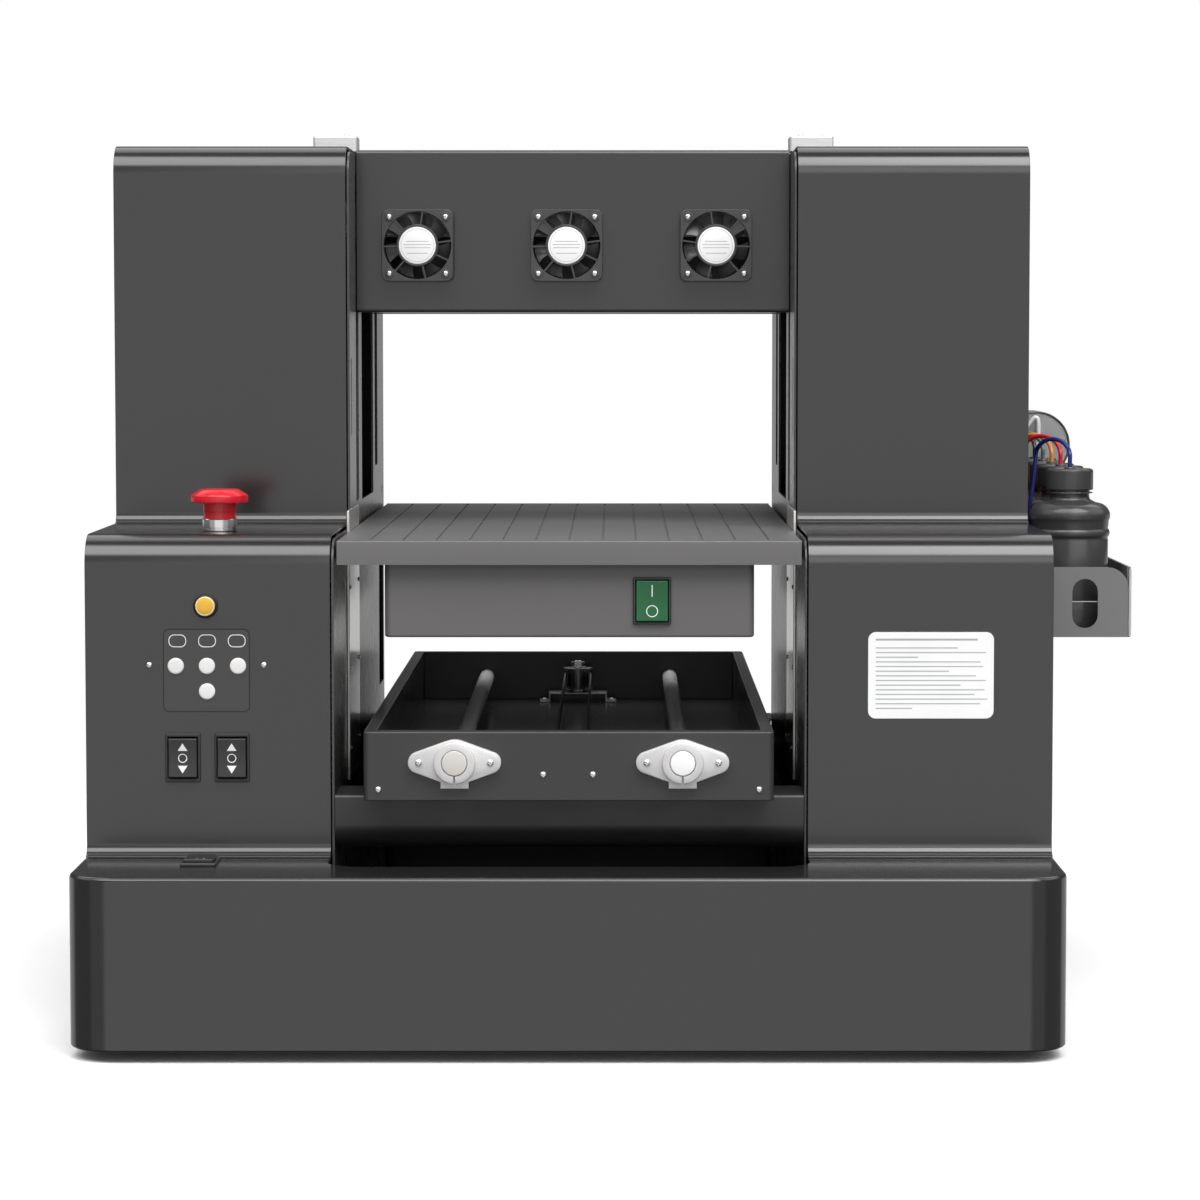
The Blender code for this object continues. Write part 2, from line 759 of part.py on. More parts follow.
def idler_bracket():
    """Hat-shaped bracket on the tray floor, with the idler's upright spindle and nut."""
    floor = TRAY_FLOOR + GAP
    top = 0.1882
    corners = (
        (0.033, floor),
        (0.025, floor),
        (0.025, top - 0.0015),
        (-0.025, top - 0.0015),
        (-0.025, floor),
        (-0.033, floor),
    )
    sheet = bent_strip([(x, z) for x, z in corners[::-1]], (0.0004, 0.002, 0.002, 0.0004), 0.0015, 2)
    bracket = prism("idler_bracket", "steel", "Y", sheet, IDLER_Y - 0.012, IDLER_Y + 0.012)
    spindle = Solid("Z")
    spindle.stack(
        (
            (circle(0, IDLER_Y, 0.0030, 12), top - 0.0008),
            (circle(0, IDLER_Y, 0.0030, 12), 0.2096),
            (circle(0, IDLER_Y, 0.0056, 12), 0.2096),
            (circle(0, IDLER_Y, 0.0056, 12), 0.2145),
        )
    )
    boolean(bracket, cutter_object(spindle, "idler_spindle"), "UNION")


def belt_drive():
    idler = pulley_profile(0.1907, 0.2090, 0.0034)
    turned("idler_pulley", "steel", idler, (0, IDLER_Y), 18, (0, IDLER_Y, SHAFT_Z), closed=True)
    drive = (
        (0.0045, TRAY_FLOOR - TRAY_SHEET + GAP),
        (0.0045, 0.1907),
        *pulley_profile(0.1907, 0.2068, 0.0)[1:-1],
        (PULLEY_RADIUS, 0.2068),
    )
    turned("drive_pulley", "steel", drive, (0, MOTOR_Y), 18, (0, MOTOR_Y, SHAFT_Z))
    half = (IDLER_Y - MOTOR_Y) / 2
    middle = (IDLER_Y + MOTOR_Y) / 2
    outer = stadium(0, middle, BELT_OUTER, half)
    inner = stadium(0, middle, BELT_INNER, half)
    solid = Solid("Z")
    sections = ((inner, BELT_BOTTOM), (outer, BELT_BOTTOM), (outer, BELT_TOP), (inner, BELT_TOP))
    solid.stack(sections, closed=True)
    finish(solid, "drive_belt", "belt_black")
    motor = rounded_rectangle(-0.021, 0.021, MOTOR_Y - 0.021, MOTOR_Y + 0.021, 0.004, steps=1)
    prism("drive_motor", "black_plastic", "Z", motor, 0.1375, TRAY_FLOOR - TRAY_SHEET - GAP)


# ---------------------------------------------------------------------------------------------
# Table
# ---------------------------------------------------------------------------------------------


def table_outline(inset):
    return rounded_rectangle(
        -TABLE_HALF_X + inset,
        TABLE_HALF_X - inset,
        TABLE_FRONT + inset,
        TABLE_BACK - inset,
        max(0.006 - inset, 0.001),
        steps=3,
    )


def table_plate():
    """Shallow tray turned over: grooved top, skirt all round, two guide rails underneath."""
    bottom = TABLE_TOP - TABLE_THICK
    under = TABLE_TOP - TABLE_SKIN
    solid = Solid("Z")
    rim = solid.loop(table_outline(0.0), bottom)
    side = solid.loop(table_outline(0.0), TABLE_TOP - 0.0015)
    edge = solid.loop(table_outline(0.00045), TABLE_TOP - 0.00045)
    top = solid.loop(table_outline(0.0015), TABLE_TOP)
    skirt_low = solid.loop(table_outline(TABLE_SKIRT), bottom)
    skirt_high = solid.loop(table_outline(TABLE_SKIRT), under)
    for first, second in ((rim, side), (side, edge), (edge, top)):
        solid.wall(first, second)
    solid.wall(rim, skirt_low)
    solid.wall(skirt_low, skirt_high)
    mouths = []
    for i in range(GROOVES):
        x = (i - (GROOVES - 1) / 2) * GROOVE_PITCH
        half = GROOVE_WIDTH / 2
        outline = box_outline(x - half, x + half, TABLE_FRONT + 0.010, TABLE_BACK - 0.010)
        mouth = solid.loop(outline, TABLE_TOP)
        floor = solid.loop(outline, TABLE_TOP - GROOVE_DEPTH)
        solid.wall(mouth, floor)
        solid.cap(floor)
        mouths.append(mouth)
    solid.fill(top, *mouths)
    rails = []
    for side_sign in (-1, 1):
        x = side_sign * TABLE_RAIL_X
        outline = box_outline(
            x - TABLE_RAIL_HALF, x + TABLE_RAIL_HALF, TABLE_FRONT + 0.015, TABLE_BACK - 0.015
        )
        root = solid.loop(outline, under)
        foot = solid.loop(outline, TABLE_RAIL_BOTTOM)
        solid.wall(root, foot)
        solid.cap(foot)
        rails.append(root)
    solid.fill(skirt_high, *rails)
    finish(solid, "table_plate", "table_grey", (0, 0, TABLE_TOP))


def box_plan(inset):
    return rounded_rectangle(
        -BOX_HALF_X + inset,
        BOX_HALF_X - inset,
        BOX_FRONT + inset,
        BOX_BACK - inset,
        0.005 - inset,
        steps=3,
    )


def vacuum_box():
    """Suction box bolted under the table, with the opening for its power rocker."""
    top = TABLE_TOP - TABLE_SKIN - GAP
    sections = (
        (box_plan(0.001), BOX_BOTTOM),
        (box_plan(0.0), BOX_BOTTOM + 0.001),
        (box_plan(0.0), top),
        (box_plan(BOX_SHEET), top),
        (box_plan(BOX_SHEET), BOX_BOTTOM + BOX_SHEET),
    )
    solid = Solid("Z")
    solid.stack(sections)
    body = finish(solid, "vacuum_box", "box_grey", (0, 0, TABLE_TOP))
    x, z = POWER_ROCKER
    half_x, half_z = POWER_SIZE[0] / 2 + 0.0005, POWER_SIZE[1] / 2 + 0.0005
    hole = Solid("Y")
    outline = box_outline(x - half_x, x + half_x, z - half_z, z + half_z)
    hole.box(outline, BOX_FRONT - 0.005, BOX_FRONT + 0.005)
    boolean(body, cutter_object(hole, "vacuum_box_rocker_cut"), "DIFFERENCE")


def lift_plate(name, side):
    """Steel side plate that lifts the table, with the guide channel for the table's rail."""
    outer = WALL_INNER - GAP
    inner = outer - LIFT_SHEET
    shelf_low, shelf_high = 0.3303, 0.3325
    arm_low, arm_high = TABLE_RAIL_BOTTOM - GAP, 0.3455
    near, far = TABLE_RAIL_X - TABLE_RAIL_HALF - GAP, TABLE_RAIL_X + TABLE_RAIL_HALF + GAP
    arm = 0.002
    plate = [(inner, LIFT_BOTTOM), (outer, LIFT_BOTTOM), (outer, LIFT_TOP), (inner, LIFT_TOP)]
    plate += [(inner, shelf_high), (near - arm, shelf_high)]
    plate += [(near - arm, shelf_low), (inner, shelf_low)]
    sections = [(side * x, z) for x, z in plate]
    body = prism(name, "steel", "Y", sections, LIFT_FRONT, LIFT_PLATE_BACK)
    channel = [
        (near - arm, shelf_low),
        (far + arm, shelf_low),
        (far + arm, arm_high),
        (far, arm_high),
        (far, arm_low),
        (near, arm_low),
        (near, arm_high),
        (near - arm, arm_high),
    ]
    guide = Solid("Y")
    guide.box([(side * x, z) for x, z in channel], LIFT_BACK - 0.100, LIFT_BACK)
    boolean(body, cutter_object(guide, name + "_guide"), "UNION")


# ---------------------------------------------------------------------------------------------
# Print beam
# ---------------------------------------------------------------------------------------------


def beam_cover():
    """Sheet channel open underneath for the print head, with a port behind each fan."""
    corners = (
        (BEAM_LIP_BACK, BEAM_BOTTOM),
        (BEAM_BACK, BEAM_BOTTOM),
        (BEAM_BACK, BEAM_TOP),
        (BEAM_FRONT, BEAM_TOP),
        (BEAM_FRONT, BEAM_BOTTOM),
        (BEAM_LIP_FRONT, BEAM_BOTTOM),
    )
    outline = bent_strip(corners, (0.003,) * 4, BEAM_SHEET, steps=4)
    cover = prism("beam_cover", "black_cover", "X", outline, -BEAM_HALF_X, BEAM_HALF_X)
    ports = Solid("Y")
    for x in FAN_X:
        ports.cylinder((x, FAN_Z), FAN_BORE, BEAM_FRONT - 0.005, BEAM_FRONT + 0.005, count=28)
    boolean(cover, cutter_object(ports, "beam_port_cut"), "DIFFERENCE")


def beam_rail():
    """Cross rail through both side walls, with a lift nut at each end and a web to the cover."""
    bar = box_outline(RAIL_FRONT, RAIL_BACK, RAIL_BOTTOM, RAIL_TOP)
    rail = prism("cross_rail", "aluminium", "X", bar, -RAIL_HALF_X, RAIL_HALF_X)
    web = Solid("X")
    web_outline = box_outline(
        RAIL_FRONT + 0.002, RAIL_FRONT + 0.005, RAIL_TOP - 0.001, BEAM_TOP - BEAM_SHEET - GAP
    )
    web.box(web_outline, -BEAM_HALF_X + 0.004, BEAM_HALF_X - 0.004)
    boolean(rail, cutter_object(web, "rail_web"), "UNION")
    nuts = Solid("Z")
    holes = Solid("Z")
    for side in (-1, 1):
        x = side * SCREW_X
        block = box_outline(x - 0.0115, x + 0.0115, SCREW_Y - 0.015, RAIL_FRONT + 0.001)
        nuts.box(block, RAIL_BOTTOM + 0.001, RAIL_TOP - 0.001)
        holes.cylinder((x, SCREW_Y), SCREW_RADIUS + 0.0005, 0.56, 0.62, count=14)
    boolean(rail, cutter_object(nuts, "rail_nut_blocks"), "UNION")
    boolean(rail, cutter_object(holes, "rail_nut_bores"), "DIFFERENCE")


def print_carriage():
    """Head housing below the rail and the slider that runs on the rail's rear face."""
    x0, x1 = CARRIAGE_X - CARRIAGE_HALF_X, CARRIAGE_X + CARRIAGE_HALF_X
    profile = [
        (0.327, 0.5200),
        (0.340, 0.5155),
        (0.435, 0.5155),
        (0.448, 0.5200),
        (0.448, 0.5720),
        (0.405, 0.5720),
        (0.405, 0.6080),
        (RAIL_BACK + GAP, 0.6080),
        (RAIL_BACK + GAP, RAIL_BOTTOM - GAP),
        (0.327, RAIL_BOTTOM - GAP),
    ]
    prism("print_carriage", "black_plastic", "X", profile, x0, x1, (CARRIAGE_X, RAIL_BACK, RAIL_TOP))


def fan_frame_mesh():
    """Square fan housing: label hub and four struts in front, round duct behind."""
    half = FAN_SIDE / 2
    front = BEAM_FRONT - GAP - FAN_DEPTH
    shelf = front + 0.002
    back = BEAM_FRONT - GAP
    square = rounded_rectangle(-half, half, -half, half, 0.004, steps=2)
    hub, ring, strut = 0.0150, FAN_BORE - 0.0006, 0.0016
    windows = []
    for quarter in range(4):
        start = math.radians(90 * quarter + 45)
        outline = []
        for radius, order in ((ring, 1), (hub, -1)):
            inset = math.asin(strut / radius)
            angles = [start + inset + (math.pi / 2 - 2 * inset) * i / 5 for i in range(6)]
            outline += [(radius * math.cos(a), radius * math.sin(a)) for a in angles[::order]]
        windows.append(outline)
    solid = Solid("Y")
    rim_front = solid.loop(square, front)
    rim_back = solid.loop(square, back)
    duct_shelf = solid.loop(circle(0, 0, FAN_BORE, 28), shelf)
    duct_back = solid.loop(circle(0, 0, FAN_BORE, 28), back)
    near = [solid.loop(outline, front) for outline in windows]
    far = [solid.loop(outline, shelf) for outline in windows]
    solid.fill(rim_front, *near)
    solid.wall(rim_front, rim_back)
    solid.fill(rim_back, duct_back)
    solid.wall(duct_back, duct_shelf)
    solid.fill(duct_shelf, *far)
    for first, second in zip(near, far):
        solid.wall(first, second)
    return solid.data("fan_frame", (0, BEAM_FRONT, 0))


def fan_rotor_mesh():
    """Seven pitched blades on a hub."""
    front = BEAM_FRONT - GAP - FAN_DEPTH + 0.0028
    depth = 0.0080
    layers = 2
    twist = math.radians(26)
    blades = 7
    pitch = math.tau / blades
    hub, tip = 0.0135, 0.0246
    plan = ((hub, 0.0), (tip, 0.02), (tip, 0.20), (tip, 0.38), (hub, 0.42), (hub, 0.71))
    solid = Solid("Y")
    sections = []
    for layer in range(layers + 1):
        share = layer / layers
        outline = []
        for blade in range(blades):
            for radius, fraction in plan:
                angle = pitch * (blade + fraction) + twist * share
                outline.append((radius * math.cos(angle), radius * math.sin(angle)))
        sections.append((outline, front + depth * share))
    solid.stack(sections)
    return solid.data("fan_rotor", (0, BEAM_FRONT, 0))


def fans():
    frame_mesh = fan_frame_mesh()
    rotor_mesh = fan_rotor_mesh()
    for name, x in zip(("left", "middle", "right"), FAN_X):
        place = (x, BEAM_FRONT, FAN_Z)
        add_mesh("fan_frame_" + name, frame_mesh, "black_plastic", place)
        add_mesh("fan_rotor_" + name, rotor_mesh, "black_plastic", place)


# ---------------------------------------------------------------------------------------------
# Ink supply
# ---------------------------------------------------------------------------------------------


def shelf_plan(inset):
    return rounded_rectangle(
        SHELF_INNER + inset,
        SHELF_OUTER - inset,
        SHELF_FRONT + inset,
        SHELF_BACK - inset,
        0.003 - inset,
        steps=2,
    )


def ink_shelf():
    """Open sheet shelf with a hand slot in its front and rounded front and rear corners."""
    sections = (
        (shelf_plan(0.0), SHELF_BOTTOM),
        (shelf_plan(0.0), SHELF_TOP),
        (shelf_plan(SHELF_SHEET), SHELF_TOP),
        (shelf_plan(SHELF_SHEET), SHELF_BOTTOM + SHELF_SHEET),
    )
    solid = Solid("Z")
    solid.stack(sections)
    shelf = finish(solid, "ink_shelf", "shelf_grey")
    slot_z = (SHELF_BOTTOM + SHELF_TOP) / 2 - 0.001
    slot = Solid("Y")
    outline = stadium(0.381, slot_z, 0.0095, 0.009)
    slot.box(outline, SHELF_FRONT - 0.005, SHELF_FRONT + 0.005)
    boolean(shelf, cutter_object(slot, "shelf_slot_cut"), "DIFFERENCE")
    radius = 0.016
    trims = Solid("Y")
    edge_x, edge_z = SHELF_OUTER - SHELF_SHEET, SHELF_TOP
    centre = (edge_x - radius, edge_z - radius)
    corner = [(edge_x + 0.0001, edge_z + 0.01), (centre[0], edge_z + 0.01)]
    for step in range(7):
        angle = math.radians(90 - 90 * step / 6)
        corner.append((centre[0] + radius * math.cos(angle), centre[1] + radius * math.sin(angle)))
    corner.append((edge_x + 0.0001, centre[1]))
    trims.box(corner, SHELF_FRONT - 0.005, SHELF_FRONT + SHELF_SHEET + 0.0001)
    trims.box(corner, SHELF_BACK - SHELF_SHEET - 0.0001, SHELF_BACK + 0.005)
    boolean(shelf, cutter_object(trims, "shelf_corner_cut"), "DIFFERENCE")


def ink_bottles():
    """Round bottles with a waisted shoulder and a screw cap."""
    profile = (
        (0.0270, 0.0),
        (0.0290, 0.0020),
        (0.0290, 0.0695),
        (0.0300, 0.0715),
        (0.0303, 0.0745),
        (0.0292, 0.0775),
        (0.0303, 0.0810),
        (0.0305, 0.0870),
        (0.0290, 0.0925),
        (0.0240, 0.0965),
        (0.0165, 0.0985),
        (0.0150, 0.1000),
        (0.0150, 0.1050),
        (0.01775, 0.1060),
        (0.01775, 0.1200),
        (0.0158, BOTTLE_HEIGHT),
    )
    solid = Solid("Z")
    solid.stack([(circle(0, 0, radius, 16), level) for radius, level in profile])
    mesh = solid.data("ink_bottle")
    for number in range(BOTTLES):
        place = (BOTTLE_X, BOTTLE_FIRST_Y + number * BOTTLE_PITCH, BOTTLE_FLOOR)
        add_mesh(f"ink_bottle_{number + 1}", mesh, "bottle_black", place)


def tube_path(number):
    """Centre line of one ink tube: up out of its cap, over, and down the tower's side."""
    y = BOTTLE_FIRST_Y + number * BOTTLE_PITCH
    cap_top = BOTTLE_FLOOR + BOTTLE_HEIGHT + GAP
    side_x = TOWER_OUTER + 0.0055
    rise = 0.012
    span = (BOTTLE_X - side_x) / 2
    path = [Vector((BOTTLE_X, y, cap_top))]
    for step in range(TUBE_STEPS + 1):
        share = step / TUBE_STEPS
        x = BOTTLE_X - span + span * math.cos(math.pi * share)
        z = cap_top + rise + span * math.sin(math.pi * share)
        path.append(Vector((x, y + BOTTLE_PITCH / 2 * share, z)))
    path.append(Vector((side_x, y + BOTTLE_PITCH / 2, 0.338)))
    return path


def ink_tubes():
    """Flexible tubes held together by the clip bar on the tower's side."""
    first_y = BOTTLE_FIRST_Y + BOTTLE_PITCH / 2
    last_y = first_y + (BOTTLES - 1) * BOTTLE_PITCH
    clip_outline = box_outline(
        TOWER_OUTER + GAP, TOWER_OUTER + 0.0085, first_y - 0.006, last_y + 0.006
    )
    clip = prism("ink_tubes", "tube_blue", "Z", clip_outline, 0.384, 0.392)
    radius = 0.0016
    for number in range(BOTTLES):
        path = tube_path(number)
        tube = Solid("Z")
        rings = []
        for i, point in enumerate(path):
            ahead = path[min(i + 1, len(path) - 1)] - path[max(i - 1, 0)]
            along = ahead.normalized()
            across = Vector((0, 1, 0))
            up = along.cross(across).normalized()
            across = up.cross(along)
            ring = []
            for k in range(TUBE_SIDES):
                angle = math.tau * k / TUBE_SIDES
                offset = across * (radius * math.cos(angle)) + up * (radius * math.sin(angle))
                ring.append(tube.mesh.verts.new(point + offset))
            rings.append(ring)
        for first, second in zip(rings, rings[1:]):
            tube.wall(first, second)
        tube.cap(rings[0])
        tube.cap(rings[-1])
        boolean(clip, cutter_object(tube, f"ink_tube_{number + 1}_run"), "UNION")


def white_ink_mixer():
    """Round stirring tank behind the bottles, held to the tower by a bracket."""
    x, y, z = MIXER_CENTRE
    profile = (
        (MIXER_RADIUS - 0.0015, y - 0.022),
        (MIXER_RADIUS, y - 0.0205),
        (MIXER_RADIUS, y + 0.0205),
        (MIXER_RADIUS - 0.0015, y + 0.022),
    )
    tank = turned("white_ink_mixer", "smoked_plastic", profile, (x, z), count=28, axis="Y")
    bracket = Solid("Z")
    outline = box_outline(TOWER_OUTER + GAP, x - 0.022, y - 0.012, y + 0.012)
    bracket.box(outline, z - 0.010, z + 0.010)
    boolean(tank, cutter_object(bracket, "mixer_bracket"), "UNION")


# ---------------------------------------------------------------------------------------------
# Controls
# ---------------------------------------------------------------------------------------------


def rocker_frame_mesh():
    """Rocker surround: a flange on the panel and a sleeve through it; outward is -y."""

    def ring(half_x, half_z):
        return rounded_rectangle(-half_x, half_x, -half_z, half_z, 0.0006, steps=1)

    flange_x, flange_z = ROCKER_FRAME[0] / 2, ROCKER_FRAME[1] / 2
    inner_x, inner_z = ROCKER_SIZE[0] / 2 + 0.0003, ROCKER_SIZE[1] / 2 + 0.0007
    sleeve_x, sleeve_z = ROCKER_HOLE[0] / 2 - 0.0003, ROCKER_HOLE[1] / 2 - 0.0003
    sections = (
        (ring(flange_x, flange_z), -GAP),
        (ring(flange_x, flange_z), -0.0018),
        (ring(flange_x - 0.0005, flange_z - 0.0005), -0.0023),
        (ring(inner_x, inner_z), -0.0023),
        (ring(inner_x, inner_z), 0.010),
        (ring(sleeve_x, sleeve_z), 0.010),
        (ring(sleeve_x, sleeve_z), -GAP),
    )
    solid = Solid("Y")
    solid.stack(sections, closed=True)
    return solid.data("rocker_frame")


def rocker_mesh(size, proud):
    """Rocker paddle, hinged on its own x axis; a shallow V across its face."""
    half_x, half_z = size[0] / 2, size[1] / 2
    profile = (
        (-proud, half_z),
        (-proud + 0.0019, 0.0012),
        (-proud + 0.0019, -0.0012),
        (-proud, -half_z),
        (0.0, -half_z),
        (0.006, -half_z + 0.003),
        (0.006, half_z - 0.003),
        (0.0, half_z),
    )
    solid = Solid("X")
    solid.box(profile, -half_x, half_x)
    return solid.data("rocker")


def rockers():
    frame_mesh = rocker_frame_mesh()
    paddle_mesh = rocker_mesh(ROCKER_SIZE, 0.0046)
    for name, (x, z) in FACE_ROCKERS.items():
        place = (x, 0.0, z)
        add_mesh(name + "_rocker_frame", frame_mesh, "black_plastic", place)
        add_mesh(name + "_rocker", paddle_mesh, "black_plastic", place)
    x, y = BASE_ROCKER
    laid = (-math.pi / 2, 0, 0)
    place = (x, y, BASE_TOP)
    add_mesh("base_rocker_frame", frame_mesh, "black_plastic", place, laid)
    add_mesh("base_rocker", paddle_mesh, "black_plastic", place, laid)
    x, z = POWER_ROCKER
    power_mesh = rocker_mesh(POWER_SIZE, 0.0036)
    add_mesh("power_rocker", power_mesh, "green_plastic", (x, BOX_FRONT, z))


def keys_and_button():
    for number, (x, z) in enumerate(KEYS):
        profile = ((0.0052, -0.0016), (KEY_RADIUS, -0.0010), (KEY_RADIUS, 0.0040))
        turned(f"key_{number + 1}", "white_plastic", profile, (x, z), 20, (x, 0, z), axis="Y")
    x, z = YELLOW
    profile = (
        (YELLOW_RADIUS - 0.0012, -0.0052),
        (YELLOW_RADIUS, -0.0042),
        (YELLOW_RADIUS, 0.0120),
    )
    turned("yellow_button", "yellow_plastic", profile, (x, z), 20, (x, 0, z), axis="Y")


def stop_button():
    """Mushroom stop button in a knurled metal collar on the left-hand step."""
    low = STEP_TOP + GAP
    collar = (
        (0.0085, low),
        (0.0125, low),
        (0.0125, 0.3640),
        (0.0118, 0.3650),
        (0.0085, 0.3650),
    )
    turned("stop_button_collar", "steel", collar, ESTOP, count=18, closed=True)
    head = (
        (0.0075, 0.3420),
        (0.0080, 0.3430),
        (0.0080, 0.3735),
        (0.0190, 0.3752),
        (0.0205, 0.3775),
        (0.0205, 0.3815),
        (0.0190, 0.3850),
        (0.0150, 0.3868),
        (0.0080, 0.3875),
    )
    turned("stop_button", "red_plastic", head, ESTOP, 20, (*ESTOP, STEP_TOP))


# ---------------------------------------------------------------------------------------------
# Assembly
# ---------------------------------------------------------------------------------------------

clear_scene()
ROOT = make_root()

base_shell()
feet()
left_cover_holes(tower_cover("tower_cover_left", -1))
tower_cover("tower_cover_right", 1)
for label, sign in (("left", -1), ("right", 1)):
    tower_wall("tower_wall_" + label, sign)
    lift_cap("lift_cap_" + label, sign)
    lift_screw("lift_screw_" + label, sign)
    guide_shaft("guide_shaft_" + label, sign)
    shaft_support("shaft_support_" + label, sign)
    lift_plate("lift_plate_" + label, sign)
cross_cover("cross_cover_front", 0.0, 1)
cross_cover("cross_cover_back", WALL_BACK, -1)
tray()
idler_bracket()
belt_drive()
table_plate()
vacuum_box()
beam_cover()
beam_rail()
print_carriage()
fans()
ink_shelf()
ink_bottles()
ink_tubes()
white_ink_mixer()
rockers()
keys_and_button()
stop_button()
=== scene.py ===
"""Looks of a bench-top flatbed UV printer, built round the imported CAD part.

Lengths are metres in machine coordinates: x = 0 on the centre plane, y = 0 on the lower front faces
of the towers with +y to the rear, z = 0 on the ground. at() turns them into the row frame.
"""

import json
import math

import bmesh
import bpy
from mathutils import Matrix, Vector


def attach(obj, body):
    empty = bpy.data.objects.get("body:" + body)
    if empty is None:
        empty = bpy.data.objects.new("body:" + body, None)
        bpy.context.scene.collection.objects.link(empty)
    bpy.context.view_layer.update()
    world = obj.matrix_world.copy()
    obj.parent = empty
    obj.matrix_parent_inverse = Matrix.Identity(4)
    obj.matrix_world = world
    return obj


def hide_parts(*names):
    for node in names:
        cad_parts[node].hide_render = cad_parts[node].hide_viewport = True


SHIFT = Vector((-0.03575, -0.2745, 0.0))
LIFT_X, LIFT_Y = 0.186, 0.303
SHAFT_X, SHAFT_Z = 0.0795, 0.1995
IDLER, DRIVE = (0.0, 0.622), (0.0, 0.078)
BASE_TOP, TOWER_SIDE, TOWER_REAR = 0.128, 0.3420, 0.6020
BASE_REAR = 0.6600

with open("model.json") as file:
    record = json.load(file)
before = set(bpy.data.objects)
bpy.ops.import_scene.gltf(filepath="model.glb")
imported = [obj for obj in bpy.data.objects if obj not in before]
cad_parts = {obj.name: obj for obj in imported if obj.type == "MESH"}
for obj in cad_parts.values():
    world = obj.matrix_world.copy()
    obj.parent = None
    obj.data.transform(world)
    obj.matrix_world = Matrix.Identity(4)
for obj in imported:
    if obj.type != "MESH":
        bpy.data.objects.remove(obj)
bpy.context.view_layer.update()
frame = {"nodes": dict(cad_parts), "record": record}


def at(x, y, z):
    return Vector((x, y, z)) + SHIFT


# ---------------------------------------------------------------------------------------------
# Materials
# ---------------------------------------------------------------------------------------------


def node_material(name):
    made = bpy.data.materials.new(name)
    made.use_nodes = True
    tree = made.node_tree
    return made, tree, tree.nodes["Principled BSDF"]


def object_noise(tree, scale, detail=2.0, stretch=(1, 1, 1), roughness=0.5):
    """Noise texture in object space, so that it stays fixed to the piece."""
    place = tree.nodes.new("ShaderNodeTexCoord")
    mapping = tree.nodes.new("ShaderNodeMapping")
    mapping.inputs["Scale"].default_value = stretch
    noise = tree.nodes.new("ShaderNodeTexNoise")
    noise.inputs["Scale"].default_value = scale
    noise.inputs["Detail"].default_value = detail
    noise.inputs["Roughness"].default_value = roughness
    tree.links.new(place.outputs["Object"], mapping.inputs["Vector"])
    tree.links.new(mapping.outputs["Vector"], noise.inputs["Vector"])
    return noise.outputs["Fac"]


def remap(tree, source, low, high, from_low=0.3, from_high=0.7):
    step = tree.nodes.new("ShaderNodeMapRange")
    step.inputs["From Min"].default_value = from_low
    step.inputs["From Max"].default_value = from_high
    step.inputs["To Min"].default_value = low
    step.inputs["To Max"].default_value = high
    tree.links.new(source, step.inputs["Value"])
    return step.outputs["Result"]


def tint(tree, colour, factor):
    """Colour whose brightness is scaled by a node value."""
    scale = tree.nodes.new("ShaderNodeVectorMath")
    scale.operation = "SCALE"
    scale.inputs[0].default_value = colour
    tree.links.new(factor, scale.inputs["Scale"])
    return scale.outputs["Vector"]


def bump(tree, shader, height, strength, distance):
    step = tree.nodes.new("ShaderNodeBump")
    step.inputs["Strength"].default_value = strength
    step.inputs["Distance"].default_value = distance
    tree.links.new(height, step.inputs["Height"])
    tree.links.new(step.outputs["Normal"], shader.inputs["Normal"])


def coated(name, colour, level, spread, tone, gloss, grain):
    """Base of painted and moulded surfaces; tone, gloss and grain each describe one noise."""
    made, tree, shader = node_material(name)
    shade = remap(tree, object_noise(tree, *tone), 1 - spread, 1 + spread)
    tree.links.new(tint(tree, colour, shade), shader.inputs["Base Color"])
    scale, detail, low, high = gloss
    tree.links.new(remap(tree, object_noise(tree, scale, detail), low, high), shader.inputs["Roughness"])
    scale, strength, distance = grain
    bump(tree, shader, object_noise(tree, scale, 1.0), strength, distance)
    shader.inputs["Specular IOR Level"].default_value = level
    return made


def paint(name, colour, roughness, level=1.0):
    """Sprayed or powder-coated sheet: faint orange peel, slight unevenness in tone and gloss."""
    return coated(name, colour, level, 0.02, (9.0, 4.0), (60.0, 3.0, roughness * 0.95, roughness * 1.06),
                  (1400.0, 0.03, 0.0001))


def plastic(name, colour, roughness, grain=0.10, spread=0.06):
    """Moulded plastic with a fine spark-eroded grain."""
    return coated(name, colour, 0.5, spread, (25.0, 3.0), (300.0, 2.0, roughness * 0.88, roughness * 1.15),
                  (3000.0, grain, 0.00015))


def metal(name, colour, roughness, stretch=(1, 1, 1), scale=400.0, streak=0.25, solid=1.0):
    """Metal with machining or grinding marks along the axis that stretch squeezes."""
    made, tree, shader = node_material(name)
    marks = object_noise(tree, scale, 3.0, stretch)
    tone = remap(tree, marks, 1 - streak * 0.5, 1 + streak * 0.3)
    tree.links.new(tint(tree, colour, tone), shader.inputs["Base Color"])
    gloss = remap(tree, marks, roughness * 0.8, roughness * 1.3)
    tree.links.new(gloss, shader.inputs["Roughness"])
    shader.inputs["Metallic"].default_value = solid
    bump(tree, shader, marks, streak * 0.5, 0.0001)
    return made


def see_through(name, colour, roughness, amount):
    made, tree, shader = node_material(name)
    tone = remap(tree, object_noise(tree, 60.0, 3.0), 0.9, 1.08)
    tree.links.new(tint(tree, colour, tone), shader.inputs["Base Color"])
    shader.inputs["Roughness"].default_value = roughness
    shader.inputs["Transmission Weight"].default_value = amount
    bump(tree, shader, object_noise(tree, 200.0, 2.0), 0.05, 0.0003)
    return made


